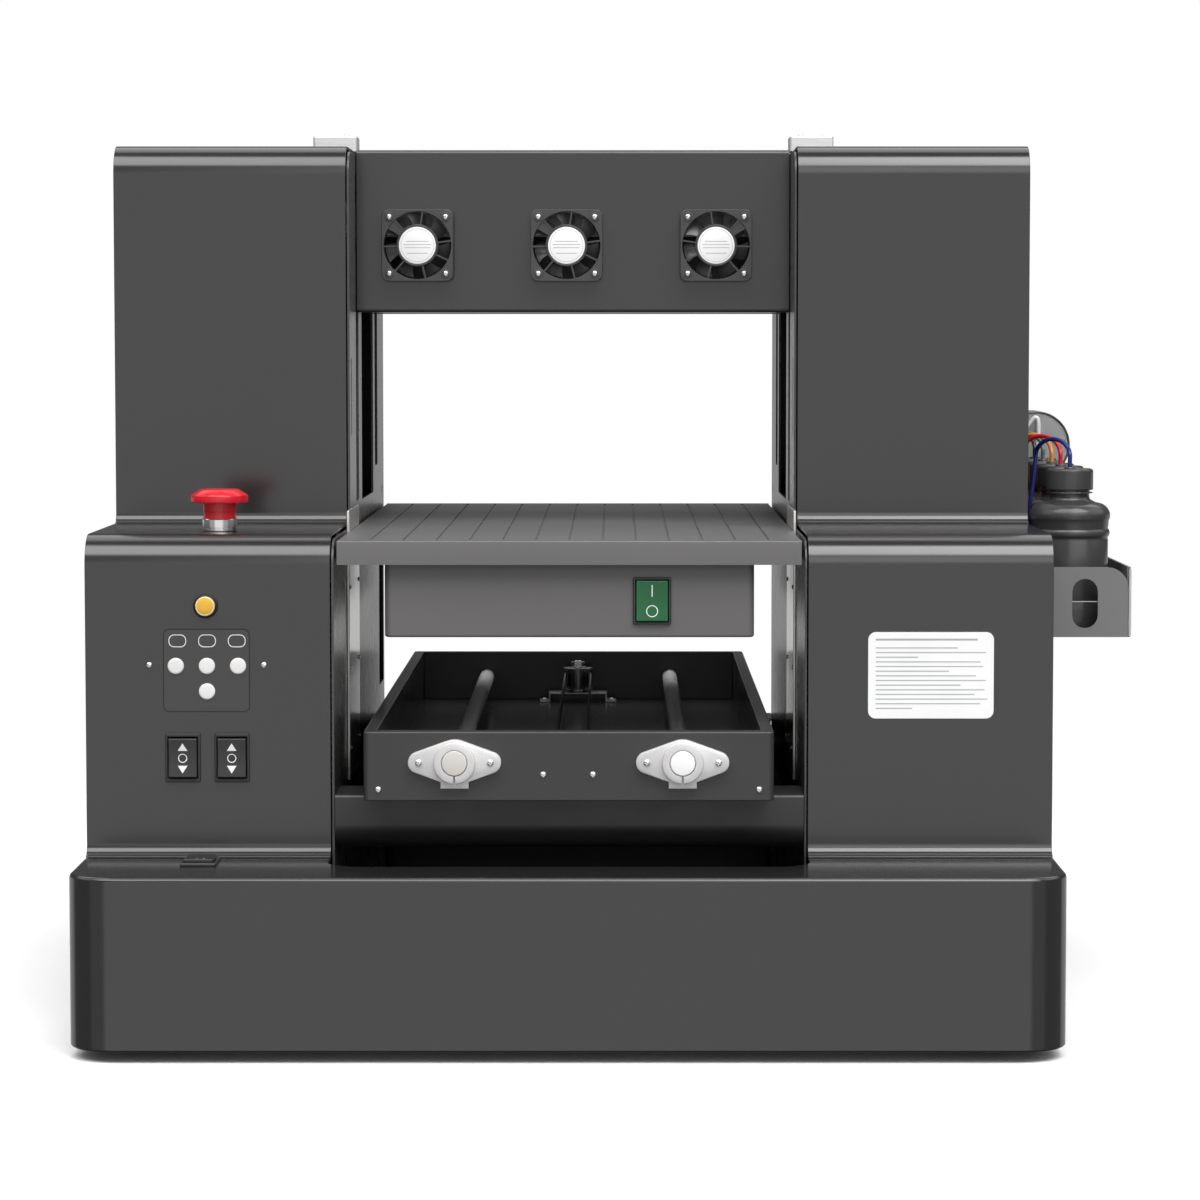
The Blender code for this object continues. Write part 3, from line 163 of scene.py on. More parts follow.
COVER = paint("cover_charcoal", (0.0215, 0.0200, 0.0208), 0.17, level=0.84)
BASE = paint("base_gloss_black", (0.0190, 0.0178, 0.0184), 0.15, level=0.84)
WALL = paint("wall_charcoal", (0.070, 0.068, 0.069), 0.28, level=0.5)
# lit and shaded copies of the one table grey, set for how light falls: the grooved bed is painted lighter
# (painted light), the front and rear borders darker (painted shade)
TABLE_BORDER_PAINTED_SHADE = paint("table_edge_grey_painted_shade", (0.132, 0.128, 0.130), 0.30, level=0.5)
TABLE_BED_PAINTED_LIGHT = paint("table_bed_grey_painted_light", (0.160, 0.156, 0.158), 0.36, level=0.4)
BOX = paint("vacuum_box_grey", (0.122, 0.117, 0.119), 0.42, level=0.5)
TRAY = paint("tray_black", (0.034, 0.033, 0.034), 0.22, level=0.5)
SHELF = paint("shelf_grey", (0.176, 0.172, 0.174), 0.45, level=0.5)
# near-black paint for painted shade: it fills the keypad's engraved border and the rear vent openings, where
# there is only shade
SHADE_BLACK = paint("shadow_black", (0.008, 0.008, 0.008), 0.6, level=0.3)
BLACK = plastic("black_plastic", (0.026, 0.026, 0.027), 0.36)
FAN_BLACK = plastic("fan_plastic", (0.052, 0.051, 0.052), 0.38)
BLADE_BLACK = plastic("fan_blade_plastic", (0.055, 0.056, 0.058), 0.30)
BOTTLE = plastic("bottle_polyethylene", (0.043, 0.043, 0.044), 0.23, grain=0.02, spread=0.02)
RUBBER = plastic("rubber", (0.018, 0.018, 0.018), 0.75, grain=0.3)
BELT = plastic("belt_rubber", (0.10, 0.10, 0.10), 0.5)
RED = plastic("stop_red", (0.62, 0.010, 0.022), 0.24, grain=0.04)
YELLOW = plastic("button_gold", (0.78, 0.43, 0.040), 0.30, grain=0.04)
CREAM = plastic("button_rim_cream", (0.86, 0.72, 0.42), 0.30, grain=0.04)
WHITE = plastic("white_plastic", (0.78, 0.77, 0.76), 0.32, grain=0.04, spread=0.03)
PRINT = plastic("white_print", (0.82, 0.82, 0.82), 0.55, grain=0.05, spread=0.03)
NOTICE = plastic("notice_white", (0.93, 0.93, 0.93), 0.35, grain=0.03, spread=0.02)
RULE = plastic("notice_rule_grey", (0.42, 0.42, 0.43), 0.6, grain=0.03, spread=0.1)
GREEN = plastic("rocker_green", (0.006, 0.115, 0.035), 0.20, grain=0.04, spread=0.12)
IVORY = plastic("shaft_end_ivory", (0.64, 0.61, 0.575), 0.35, grain=0.05, spread=0.03)
STEEL = metal("ground_steel", (0.70, 0.70, 0.70), 0.24, streak=0.03)
BRUSHED = metal("brushed_plate", (0.88, 0.86, 0.83), 0.14, (1, 1, 0.015), 900.0, 0.12, solid=0.6)
CHROME = metal("bright_screw", (0.85, 0.85, 0.85), 0.16, streak=0.08)
ALU = metal("cast_aluminium", (0.69, 0.68, 0.68), 0.40, scale=900.0, streak=0.12, solid=0.35)
ALU_CAP = metal("milled_aluminium", (0.80, 0.80, 0.80), 0.38, (0.05, 1, 1), 900.0, 0.2, solid=0.5)
SHAFT = metal("ground_shaft", (0.90, 0.90, 0.90), 0.36, scale=60.0, streak=0.02, solid=0.2)
BRACKET = metal("plated_sheet", (0.60, 0.60, 0.60), 0.32, scale=200.0, streak=0.08, solid=0.7)
CROSS = paint("cross_cover_black", (0.0215, 0.0200, 0.0208), 0.44, level=0.7)
# lighter grey for thin strips on the shelf's edges: painted highlights
SHELF_EDGE_HIGHLIGHT = paint("shelf_edge_painted_highlight", (0.52, 0.51, 0.51), 0.35, level=0.5)
DARK_STEEL = metal("dark_steel", (0.30, 0.30, 0.31), 0.34, streak=0.15)
TANK_BACK_GLOW = plastic("tank_back_painted_glow", (0.85, 0.85, 0.85), 0.5, grain=0.03)
# painted glow: the back plate emits a little light to stand in for the bright room seen through the clear
# tank
TANK_BACK_GLOW.node_tree.nodes["Principled BSDF"].inputs["Emission Color"].default_value = (1.0, 1.0, 1.0, 1.0)
TANK_BACK_GLOW.node_tree.nodes["Principled BSDF"].inputs["Emission Strength"].default_value = 0.30
SMOKE = see_through("smoked_cover", (0.84, 0.84, 0.85), 0.12, 0.75)


# ---------------------------------------------------------------------------------------------
# Shape helpers
# ---------------------------------------------------------------------------------------------


def add_piece(name, mesh, material, body, slot=None, angle=34, bevel=0.0, rings=2):
    """A finished piece: smoothed by angle, optionally with eased edges, riding on its body."""
    mesh.materials.clear()
    mesh.materials.append(material)
    mesh.shade_smooth()
    mesh.set_sharp_from_angle(angle=math.radians(angle))
    piece = bpy.data.objects.new(name, mesh)
    bpy.context.scene.collection.objects.link(piece)
    if bevel:
        ease = piece.modifiers.new("eased_edges", "BEVEL")
        ease.width = bevel
        ease.segments = rings
        ease.limit_method = "ANGLE"
        ease.angle_limit = math.radians(38)
        ease.miter_outer = "MITER_ARC"
        flat = piece.modifiers.new("flat_faces", "WEIGHTED_NORMAL")
        flat.mode = "FACE_AREA"
        flat.weight = 100
        flat.keep_sharp = True
    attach(piece, body)
    return piece


def to_mesh(name, build):
    bmesh.ops.recalc_face_normals(build, faces=build.faces)
    made = bpy.data.meshes.new(name)
    build.to_mesh(made)
    build.free()
    return made


def put(name, build, material, body, *rest, **options):
    """The mesh being built becomes a finished piece."""
    return add_piece(name, to_mesh(name, build), material, body, *rest, **options)


SLOTS = {s["node"]: s["material_slot"] for s in frame["record"]["subparts"]}
BODIES = frame["record"]["behaviour"]["bodies"]
BODY_OF = {member: body_name for body_name, members in BODIES.items() for member in members}


def remade(node, material, bevel=0.0004, angle=34, rings=2):
    """The CAD node's own shape with merged faces and eased edges, shown in place of the node."""
    build = bmesh.new()
    build.from_mesh(frame["nodes"][node].data)
    bmesh.ops.remove_doubles(build, verts=build.verts, dist=2e-6)
    bmesh.ops.dissolve_limit(
        build, angle_limit=math.radians(0.8), verts=build.verts, edges=build.edges
    )
    mesh = to_mesh(node + "_skin", build)
    piece = add_piece(
        node + "_skin", mesh, material, BODY_OF[node], SLOTS[node], angle, bevel, rings
    )
    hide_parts(node)
    return piece


def circle(cx, cy, radius, count=48, turn=0.0):
    turns = [turn + math.tau * i / count for i in range(count)]
    return [(cx + radius * math.cos(t), cy + radius * math.sin(t)) for t in turns]


def rounded_box(x0, x1, y0, y1, radius, steps=6):
    points = []
    for cx, cy, start in (
        (x1 - radius, y0 + radius, -90),
        (x1 - radius, y1 - radius, 0),
        (x0 + radius, y1 - radius, 90),
        (x0 + radius, y0 + radius, 180),
    ):
        for step in range(steps + 1):
            turn = math.radians(start + 90 * step / steps)
            points.append((cx + radius * math.cos(turn), cy + radius * math.sin(turn)))
    return points


def framed(ca, cb, half_a, half_b, radius):
    """Rounded box given by its centre and half sizes."""
    return rounded_box(ca - half_a, ca + half_a, cb - half_b, cb + half_b, radius, 4)


def lifted(axis, point, level):
    a, b = point
    return at(*{"X": (level, a, b), "Y": (a, level, b), "Z": (a, b, level)}[axis])


def loft(build, axis, sections, closed=False, capped=True):
    """Walls through (outline, level) sections along an axis."""
    loops = [[build.verts.new(lifted(axis, p, level)) for p in line] for line, level in sections]
    pairs = list(zip(loops, loops[1:]))
    if closed:
        pairs.append((loops[-1], loops[0]))
    for first, second in pairs:
        for i in range(len(first)):
            j = (i + 1) % len(first)
            build.faces.new((first[i], first[j], second[j], second[i]))
    if capped and not closed:
        build.faces.new(loops[0])
        build.faces.new(loops[-1])
    return loops


def spin(build, axis, centre, profile, count=48, closed=False, turn=0.0):
    sections = [(circle(*centre, max(r, 1e-5), count, turn), level) for r, level in profile]
    loft(build, axis, sections, closed)


def spun(name, axis, centre, profile, material, body, slot=None, count=48, closed=False):
    build = bmesh.new()
    spin(build, axis, centre, profile, count, closed)
    return put(name, build, material, body, slot, angle=40)


def slab(build, axis, outline, low, high):
    loft(build, axis, ((outline, low), (outline, high)))


def ring_band(build, axis, outer, inner, low, high):
    """Flat frame between two outlines of the same point count."""
    loft(build, axis, ((inner, low), (outer, low), (outer, high), (inner, high)), closed=True)


def piece_of(name, parts, material, body, slot=None, bevel=0.0, angle=34):
    """One piece from several drawing steps, each a function that takes the mesh being built."""
    build = bmesh.new()
    for part in parts:
        part(build)
    return put(name, build, material, body, slot, angle, bevel)


def disc(build, axis, centre, radius, low, high, ease=0.0003, count=40):
    """Round plate with an eased far edge."""
    side = 1 if high > low else -1
    profile = [(radius, low), (radius, high - side * ease)]
    for step in (1, 2, 3):
        turn = math.radians(30 * step)
        profile.append((radius - ease * (1 - math.cos(turn)), high - side * ease * (1 - math.sin(turn))))
    spin(build, axis, centre, profile, count)


def screw_head(build, axis, centre, radius, surface, outward):
    """Domed screw head with a cross recess, standing on a surface."""
    tall = radius * 0.62
    profile = [(radius, surface)]
    for step in range(5):
        turn = math.radians(18 * step + 8)
        profile.append((radius * math.cos(turn), surface + outward * tall * math.sin(turn)))
    top = surface + outward * tall
    spin(build, axis, centre, profile, 20)
    cx, cy = centre
    for long_x, long_y in ((0.55, 0.13), (0.13, 0.55)):
        x0, x1 = cx - radius * long_x, cx + radius * long_x
        y0, y1 = cy - radius * long_y, cy + radius * long_y
        slab(build, axis, [(x0, y0), (x1, y0), (x1, y1), (x0, y1)], top - outward * radius * 0.2,
             top + outward * radius * 0.04)


def screws(name, axis, places, radius, surface, outward, body, material=None):
    build = bmesh.new()
    for centre in places:
        screw_head(build, axis, centre, radius, surface, outward)
    return put(name, build, material or CHROME, body)


def tube_mesh(build, points, radius, sides=12):
    """Round tube along a list of points."""
    rings = []
    up = Vector((0.13, 1.0, 0.07)).normalized()
    for i, point in enumerate(points):
        along = (points[min(i + 1, len(points) - 1)] - points[max(i - 1, 0)]).normalized()
        side = along.cross(up).normalized()
        up = side.cross(along).normalized()
        ring = []
        for k in range(sides):
            turn = math.tau * k / sides
            spot = point + side * radius * math.cos(turn)
            ring.append(build.verts.new(spot + up * radius * math.sin(turn)))
        rings.append(ring)
    for first, second in zip(rings, rings[1:]):
        for k in range(sides):
            j = (k + 1) % sides
            build.faces.new((first[k], first[j], second[j], second[k]))
    build.faces.new(rings[0])
    build.faces.new(rings[-1])


def smooth_path(points, steps=8):
    """Catmull-Rom curve through the points."""
    ends = [points[0] * 2 - points[1], *points, points[-1] * 2 - points[-2]]
    path = []
    for a, b, c, d in zip(ends, ends[1:], ends[2:], ends[3:]):
        for step in range(steps):
            t = step / steps
            path.append(
                0.5 * ((2 * b) + (c - a) * t + (2 * a - 5 * b + 4 * c - d) * t * t
                       + (3 * b - a - 3 * c + d) * t * t * t)
            )
    path.append(points[-1].copy())
    return path


# ---------------------------------------------------------------------------------------------
# Housing
# ---------------------------------------------------------------------------------------------

remade("base_shell", BASE, 0.0004, rings=2)
for corner in ("front_left", "front_right", "back_left", "back_right"):
    remade("foot_" + corner, RUBBER, 0.0004)
for side_name in ("left", "right"):
    remade("tower_cover_" + side_name, COVER, 0.0005)
    remade("tower_wall_" + side_name, WALL, 0.0003)
    remade("lift_cap_" + side_name, ALU_CAP, 0.0004)
    remade("lift_plate_" + side_name, BRUSHED, 0.0003)
remade("cross_cover_front", CROSS, 0.0003)
remade("cross_cover_back", COVER, 0.0003)
remade("beam_cover", COVER, 0.0004)
remade("cross_rail", ALU_CAP, 0.0004)
remade("print_carriage", BLACK, 0.0015)
remade("drive_tray", TRAY, 0.0005)
remade("drive_motor", BLACK, 0.0008)
remade("vacuum_box", BOX, 0.0004)
remade("ink_shelf", SHELF, 0.0003)
remade("drive_belt", BELT, 0.0003)

# Table: grooved bed between plain front and rear borders; the bed carries the painted-light grey and the
# borders the painted-shade grey
GROOVES = [-0.141 + 0.0235 * number for number in range(13)]
TABLE_TOP, TABLE_UNDER, TABLE_HALF, TABLE_DEPTH = 0.352, 0.335, 0.1640, 0.610
build = bmesh.new()
section = [(TABLE_HALF - 0.0030, TABLE_UNDER), (TABLE_HALF, TABLE_UNDER), (TABLE_HALF, TABLE_TOP - 0.0008),
           (TABLE_HALF - 0.0002, TABLE_TOP - 0.0002), (TABLE_HALF - 0.0008, TABLE_TOP)]
for x in reversed(GROOVES):
    section += [(x + 0.0009, TABLE_TOP), (x + 0.0007, TABLE_TOP - 0.0002), (x + 0.0007, TABLE_TOP - 0.0010),
                (x - 0.0007, TABLE_TOP - 0.0010), (x - 0.0007, TABLE_TOP - 0.0002), (x - 0.0009, TABLE_TOP)]
section += [(-TABLE_HALF + 0.0008, TABLE_TOP), (-TABLE_HALF + 0.0002, TABLE_TOP - 0.0002),
            (-TABLE_HALF, TABLE_TOP - 0.0008), (-TABLE_HALF, TABLE_UNDER),
            (-TABLE_HALF + 0.0030, TABLE_UNDER),
            (-TABLE_HALF + 0.0030, TABLE_TOP - 0.0040), (TABLE_HALF - 0.0030, TABLE_TOP - 0.0040)]
slab(build, "Y", section, 0.0100, TABLE_DEPTH - 0.0100)
bed = put("table_bed", build, TABLE_BED_PAINTED_LIGHT, "table", "table_grey", angle=40)
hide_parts("table_plate")
for label, near, far in (("front", 0.0, 0.0100), ("rear", TABLE_DEPTH, TABLE_DEPTH - 0.0100)):
    inward = 1 if far > near else -1
    build = bmesh.new()
    section = [(far, TABLE_UNDER + 0.0130), (far, TABLE_TOP), (near + inward * 0.0011, TABLE_TOP)]
    section += [(near + inward * (0.0011 - 0.0011 * math.sin(math.radians(a))),
                 TABLE_TOP - 0.0011 + 0.0011 * math.cos(math.radians(a))) for a in (22, 45, 68)]
    section += [(near, TABLE_TOP - 0.0011), (near, TABLE_UNDER), (near + inward * 0.0030, TABLE_UNDER),
                (near + inward * 0.0030, TABLE_UNDER + 0.0130)]
    slab(build, "X", section, -TABLE_HALF, TABLE_HALF)
    put(f"table_{label}_edge", build, TABLE_BORDER_PAINTED_SHADE, "table", "table_grey", angle=50)
# the two long rails under the table
build = bmesh.new()
for side in (-1, 1):
    x = side * 0.1528
    outline = rounded_box(x - 0.0060, x + 0.0060, 0.3397, 0.3482, 0.0008, 3)
    slab(build, "Y", outline, 0.0040, TABLE_DEPTH - 0.0040)
put("table_rails", build, STEEL, "table", "table_grey", angle=40)

# Bearing caps on the tower tops: two fixing screws each
for side in (-1, 1):
    screws(
        "lift_cap_screws_" + ("left" if side < 0 else "right"),
        "Z",
        [(side * 0.176, 0.293), (side * 0.194, 0.313)],
        0.0022, 0.6505, 1, "frame",
    )


# ---------------------------------------------------------------------------------------------
# Lift screws, shafts, supports
# ---------------------------------------------------------------------------------------------

for side, side_name in ((-1, "left"), (1, "right")):
    x = side * LIFT_X
    profile = []
    z = 0.1285
    while z < 0.6345:
        profile += [(0.0044, z), (0.0050, z + 0.0012), (0.0050, z + 0.0022), (0.0044, z + 0.0034)]
        z += 0.0060
    screw = spun(f"lift_screw_thread_{side_name}", "Z", (x, LIFT_Y), profile, STEEL, f"screw_{side_name}",
                 "steel", count=16)
    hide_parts(f"lift_screw_{side_name}")

    x = side * SHAFT_X
    head = 0.00875
    profile = [
        (head - 0.0005, -0.0483), (head, -0.0478), (head, -0.0458), (0.00625, -0.0458),
        (0.00625, 0.645),
    ]
    shaft = spun(f"guide_shaft_bar_{side_name}", "Y", (x, SHAFT_Z), profile, SHAFT, "frame", "steel", 64)
    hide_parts(f"guide_shaft_{side_name}")
    build = bmesh.new()
    disc(build, "Y", (x, SHAFT_Z), 0.0084, -0.0482, -0.0488, 0.0003, 48)
    put(f"shaft_end_face_{side_name}", build, IVORY if side < 0 else NOTICE, "frame")


def support_outline(cx, cz, inset=0.0):
    boss, ear, reach = 0.0160 - inset, 0.0075 - inset, 0.0250
    tilt = math.asin((boss - ear) / reach)
    points = []
    for start, end, centre, radius, steps in (
        (-90 + math.degrees(tilt), 90 - math.degrees(tilt), reach, ear, 14),
        (90 - math.degrees(tilt), 90 + math.degrees(tilt), 0.0, boss, 8),
        (90 + math.degrees(tilt), 270 - math.degrees(tilt), -reach, ear, 14),
    ):
        for step in range(steps + 1):
            turn = math.radians(start + (end - start) * step / steps)
            points.append((cx + centre + radius * math.cos(turn), cz + radius * math.sin(turn)))
    lug, drop = 0.0098 - inset, 0.0182 - inset
    shoulder = -boss / math.cos(tilt) + lug * math.tan(tilt)
    points += [(cx - lug, cz + shoulder), (cx - lug, cz - drop), (cx + lug, cz - drop),
               (cx + lug, cz + shoulder)]
    return points


for side, side_name in ((-1, "left"), (1, "right")):
    cx, cz = side * SHAFT_X, SHAFT_Z
    build = bmesh.new()
    loft(build, "Y", (
        (support_outline(cx, cz), -0.0383),
        (support_outline(cx, cz), -0.0438),
        (support_outline(cx, cz, 0.0002), -0.0441),
        (support_outline(cx, cz, 0.0005), -0.0443),
    ))
    boss = [(0.0145, -0.0442), (0.0145, -0.0477), (0.0143, -0.0481), (0.0139, -0.0483),
            (0.00935, -0.0483), (0.00915, -0.0481), (0.00915, -0.0442)]
    gap = 0.0009
    ring = []
    steps = 60
    start = math.asin(gap / 0.0145)
    for step in range(steps + 1):
        turn = -math.pi / 2 + start + (math.tau - 2 * start) * step / steps
        ring.append([build.verts.new(at(cx + r * math.cos(turn), y, cz + r * math.sin(turn)))
                     for r, y in boss])
    for first, second in zip(ring, ring[1:]):
        for k in range(len(boss)):
            j = (k + 1) % len(boss)
            build.faces.new((first[k], first[j], second[j], second[k]))
    build.faces.new(ring[0])
    build.faces.new(ring[-1])
    support = put(f"shaft_support_casting_{side_name}", build, ALU, "frame",
                        "aluminium", angle=40)
    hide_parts(f"shaft_support_{side_name}")
    screws(f"shaft_support_screws_{side_name}", "Y", [(cx - 0.025, cz), (cx + 0.025, cz)],
           0.0026, -0.0443, -1, "frame")

screws("tray_screws", "Y",
       [(-0.1330, 0.1800), (0.1330, 0.1800), (-0.0178, 0.1905), (0.0169, 0.1905)],
       0.0024, -0.0380, -1, "frame")


# ---------------------------------------------------------------------------------------------
# Belt drive
# ---------------------------------------------------------------------------------------------


def toothed(build, centre, radius, low, high, teeth=24, depth=0.0007):
    points = []
    for tooth in range(teeth):
        for share, r in ((0.0, radius), (0.5, radius), (0.55, radius - depth), (0.95, radius - depth)):
            turn = math.tau * (tooth + share) / teeth
            points.append((centre[0] + r * math.cos(turn), centre[1] + r * math.sin(turn)))
    slab(build, "Z", points, low, high)


for name, node, body, centre, low, high in (
    ("idler", "idler_pulley", "idler", IDLER, 0.1907, 0.2090),
    ("drive", "drive_pulley", "drive", DRIVE, 0.1907, 0.2068),
):
    build = bmesh.new()
    toothed(build, centre, 0.0100, low + 0.0012, high - 0.0012)
    for z0, z1 in ((low, low + 0.0013), (high, high - 0.0013)):
        disc(build, "Z", centre, 0.0126, z1, z0, 0.0003, 40)
    pulley = put(f"{name}_pulley_wheel", build, DARK_STEEL, body, "steel", angle=30)
    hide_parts(node)

# bracket folded from thin sheet, standing on the tray floor
hat = []
for side, points in ((-1, ((0.0330, 0.1815), (0.0330, 0.1802), (0.0237, 0.1802), (0.0237, 0.1869))),
                     (1, ((0.0237, 0.1869), (0.0237, 0.1802), (0.0330, 0.1802), (0.0330, 0.1815),
                          (0.0250, 0.1815), (0.0250, 0.1882)))):
    hat += [(side * px, pz) for px, pz in points]
hat += [(-0.0250, 0.1882), (-0.0250, 0.1815)]
bracket = piece_of("idler_bracket_sheet", [lambda b: slab(b, "Y", hat, 0.6100, 0.6340)], BRACKET, "frame",
                   SLOTS["idler_bracket"], bevel=0.0002)
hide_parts("idler_bracket")
build = bmesh.new()
nut = circle(*IDLER, 0.0060, 6)
inner = circle(*IDLER, 0.0056, 6)
loft(build, "Z", ((nut, 0.2094), (nut, 0.2140), (inner, 0.2145)))
spin(build, "Z", IDLER, [(0.0030, 0.2140), (0.0030, 0.2148), (0.0026, 0.2151)], 20)
disc(build, "Z", IDLER, 0.0072, 0.2092, 0.2098, 0.0002, 32)
spin(build, "Z", IDLER, [(0.0042, 0.1879), (0.0042, 0.1904)], 24)
put("idler_nut", build, STEEL, "frame", angle=30)
screws("idler_bracket_screws", "Z", [(-0.0290, 0.622), (0.0290, 0.622)], 0.0022, 0.1815, 1, "frame")


# ---------------------------------------------------------------------------------------------
# Fans
# ---------------------------------------------------------------------------------------------

FAN_FACE, FAN_Z = 0.2427, 0.565
FAN_CORNER = 0.02155  # corner screws, off the fan's centre line
STRUTS = (8, 81, 182, 229, 284, 334)
WIRE_GUIDE = (132, 149)


def sector(cx, cz, r0, r1, start, end, steps=10):
    points = []
    for radius, order in ((r1, 1), (r0, -1)):
        for step in range(steps + 1)[::order]:
            turn = math.radians(start + (end - start) * step / steps)
            points.append((cx + radius * math.cos(turn), cz + radius * math.sin(turn)))
    return points


def fan(side_name, cx):
    cz, half = FAN_Z, 0.0275
    build = bmesh.new()
    # housing: square outside, round duct inside
    count = 56
    inner = circle(cx, cz, 0.0257, count, math.radians(-90 - 180 / count))
    square = []
    for point in inner:
        dx, dz = point[0] - cx, point[1] - cz
        reach = half / max(abs(dx), abs(dz))
        px, pz = dx * reach, dz * reach
        radius = 0.0052
        ax, az = max(0.0, abs(px) - (half - radius)), max(0.0, abs(pz) - (half - radius))
        if ax > 0 and az > 0:
            scale = radius / math.hypot(ax, az)
            px = math.copysign(half - radius + ax * scale, px)
            pz = math.copysign(half - radius + az * scale, pz)
        square.append((cx + px, cz + pz))

    def shrunk(inset):
        return [(cx + (x - cx) * (1 - inset / half), cz + (z - cz) * (1 - inset / half)) for x, z in square]

    loft(build, "Y", (
        (inner, 0.2547), (square, 0.2547), (square, FAN_FACE + 0.0005), (shrunk(0.0005), FAN_FACE),
        (circle(cx, cz, 0.0260, count, math.radians(-90 - 180 / count)), FAN_FACE),
        (inner, FAN_FACE + 0.0004),
    ), closed=True)
    # raised bosses round the corner screws
    for sx in (-1, 1):
        for sz in (-1, 1):
            centre = (cx + sx * FAN_CORNER, cz + sz * FAN_CORNER)
            disc(build, "Y", centre, 0.0036, FAN_FACE + 0.001, FAN_FACE - 0.0004, 0.0003, 28)
    housing = put(f"fan_housing_{side_name}", build, FAN_BLACK, "beam",
                        "black_plastic", angle=35)
    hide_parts("fan_frame_" + side_name)

    # hub plate and the struts that carry it
    build = bmesh.new()
    spin(build, "Y", (cx, cz), [(0.0161, FAN_FACE + 0.0022), (0.0161, FAN_FACE + 0.0006),
                                (0.0158, FAN_FACE + 0.0001), (0.0152, FAN_FACE - 0.0001),
                                (0.0146, FAN_FACE + 0.0001), (0.0144, FAN_FACE + 0.0004)], 56)
    flip = side_name == "right"
    for angle in (*STRUTS, *WIRE_GUIDE):
        turn = math.radians(180 - angle if flip else angle)
        along, across = (math.cos(turn), math.sin(turn)), (-math.sin(turn), math.cos(turn))
        wide = 0.0006
        line = []
        for reach, sign in ((0.0155, -1), (0.0259, -1), (0.0259, 1), (0.0155, 1)):
            line.append((cx + along[0] * reach + across[0] * wide * sign,
                         cz + along[1] * reach + across[1] * wide * sign))
        slab(build, "Y", line, FAN_FACE + 0.0003, FAN_FACE + 0.0020)
    # floor of the wire guide towards the upper corner
    first, last = WIRE_GUIDE
    if flip:
        first, last = 180 - last, 180 - first
    slab(build, "Y", sector(cx, cz, 0.0155, 0.0262, first, last, 3), FAN_FACE + 0.0012, FAN_FACE + 0.0020)
    put(f"fan_hub_{side_name}", build, FAN_BLACK, "beam", angle=35)

    build = bmesh.new()
    disc(build, "Y", (cx, cz), 0.0141, FAN_FACE + 0.0006, FAN_FACE - 0.00005, 0.0001, 64)
    put(f"fan_disc_{side_name}", build, NOTICE, "beam")
    build = bmesh.new()
    face = FAN_FACE - 0.00005
    ring_band(build, "Y", circle(cx, cz, 0.0127, 64), circle(cx, cz, 0.01245, 64), face - 0.00004, face)
    for z_off, wide in ((0.0030, 0.0085), (0.0006, 0.0105), (-0.0018, 0.0100), (-0.0060, 0.0080)):
        outline = rounded_box(cx - wide, cx + wide, cz + z_off - 0.00025, cz + z_off + 0.00025, 0.0002, 2)
        slab(build, "Y", outline, face - 0.00004, face)
    put(f"fan_disc_rules_{side_name}", build, RULE, "beam")

    # blades
    build = bmesh.new()
    front, depth = FAN_FACE + 0.0028, 0.0078
    spin(build, "Y", (cx, cz), [(0.0125, front), (0.0135, front + 0.001), (0.0135, front + depth)], 40)
    for blade in range(7):
        base_turn = math.tau * blade / 7 + math.radians(18)
        grid = []
        for i in range(7):
            chord = i / 6
            row = []
            for j in range(5):
                reach = 0.0130 + (0.0246 - 0.0130) * j / 4
                turn = base_turn + math.radians(33) * chord + math.radians(7) * (j / 4) ** 2
                y = front + depth * (1 - chord) ** 1.15 * 0.92 + 0.0003
                row.append((reach, turn, y))
            grid.append(row)
        sheets = []
        for thick in (0.0, 0.0009):
            sheets.append([[build.verts.new(at(cx + r * math.cos(t), y + thick * 0.6, cz + r * math.sin(t)))
                            for r, t, y in row] for row in grid])
        for sheet in sheets:
            for a, b in zip(sheet, sheet[1:]):
                for k in range(4):
                    build.faces.new((a[k], a[k + 1], b[k + 1], b[k]))
        top, low = sheets
        rim_top = top[0] + [r[-1] for r in top[1:-1]] + top[-1][::-1] + [r[0] for r in top[1:-1]][::-1]
        rim_low = low[0] + [r[-1] for r in low[1:-1]] + low[-1][::-1] + [r[0] for r in low[1:-1]][::-1]
        for k in range(len(rim_top)):
            j = (k + 1) % len(rim_top)
            build.faces.new((rim_top[k], rim_top[j], rim_low[j], rim_low[k]))
    rotor = put(f"fan_blades_{side_name}", build, BLADE_BLACK, "fan_" + side_name,
                      "black_plastic", angle=40)
    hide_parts("fan_rotor_" + side_name)

    places = [(cx + sx * FAN_CORNER, cz + sz * FAN_CORNER) for sx in (-1, 1) for sz in (-1, 1)]
    screws(f"fan_screws_{side_name}", "Y", places, 0.0023, FAN_FACE - 0.0004, -1, "beam")


for side_name, fan_x in (("left", -0.1187), ("middle", -0.0048), ("right", 0.1094)):
    fan(side_name, fan_x)


# ---------------------------------------------------------------------------------------------
# Ink supply
# ---------------------------------------------------------------------------------------------

BOTTLE_X, BOTTLE_Y, BOTTLE_FLOOR, PITCH = 0.3735, 0.180, 0.2751, 0.0616


def arc_profile(cr, cz, radius, start, end, steps=6):
    points = []
    for step in range(steps + 1):
        turn = math.radians(start + (end - start) * step / steps)
        points.append((cr + radius * math.cos(turn), cz + radius * math.sin(turn)))
    return points


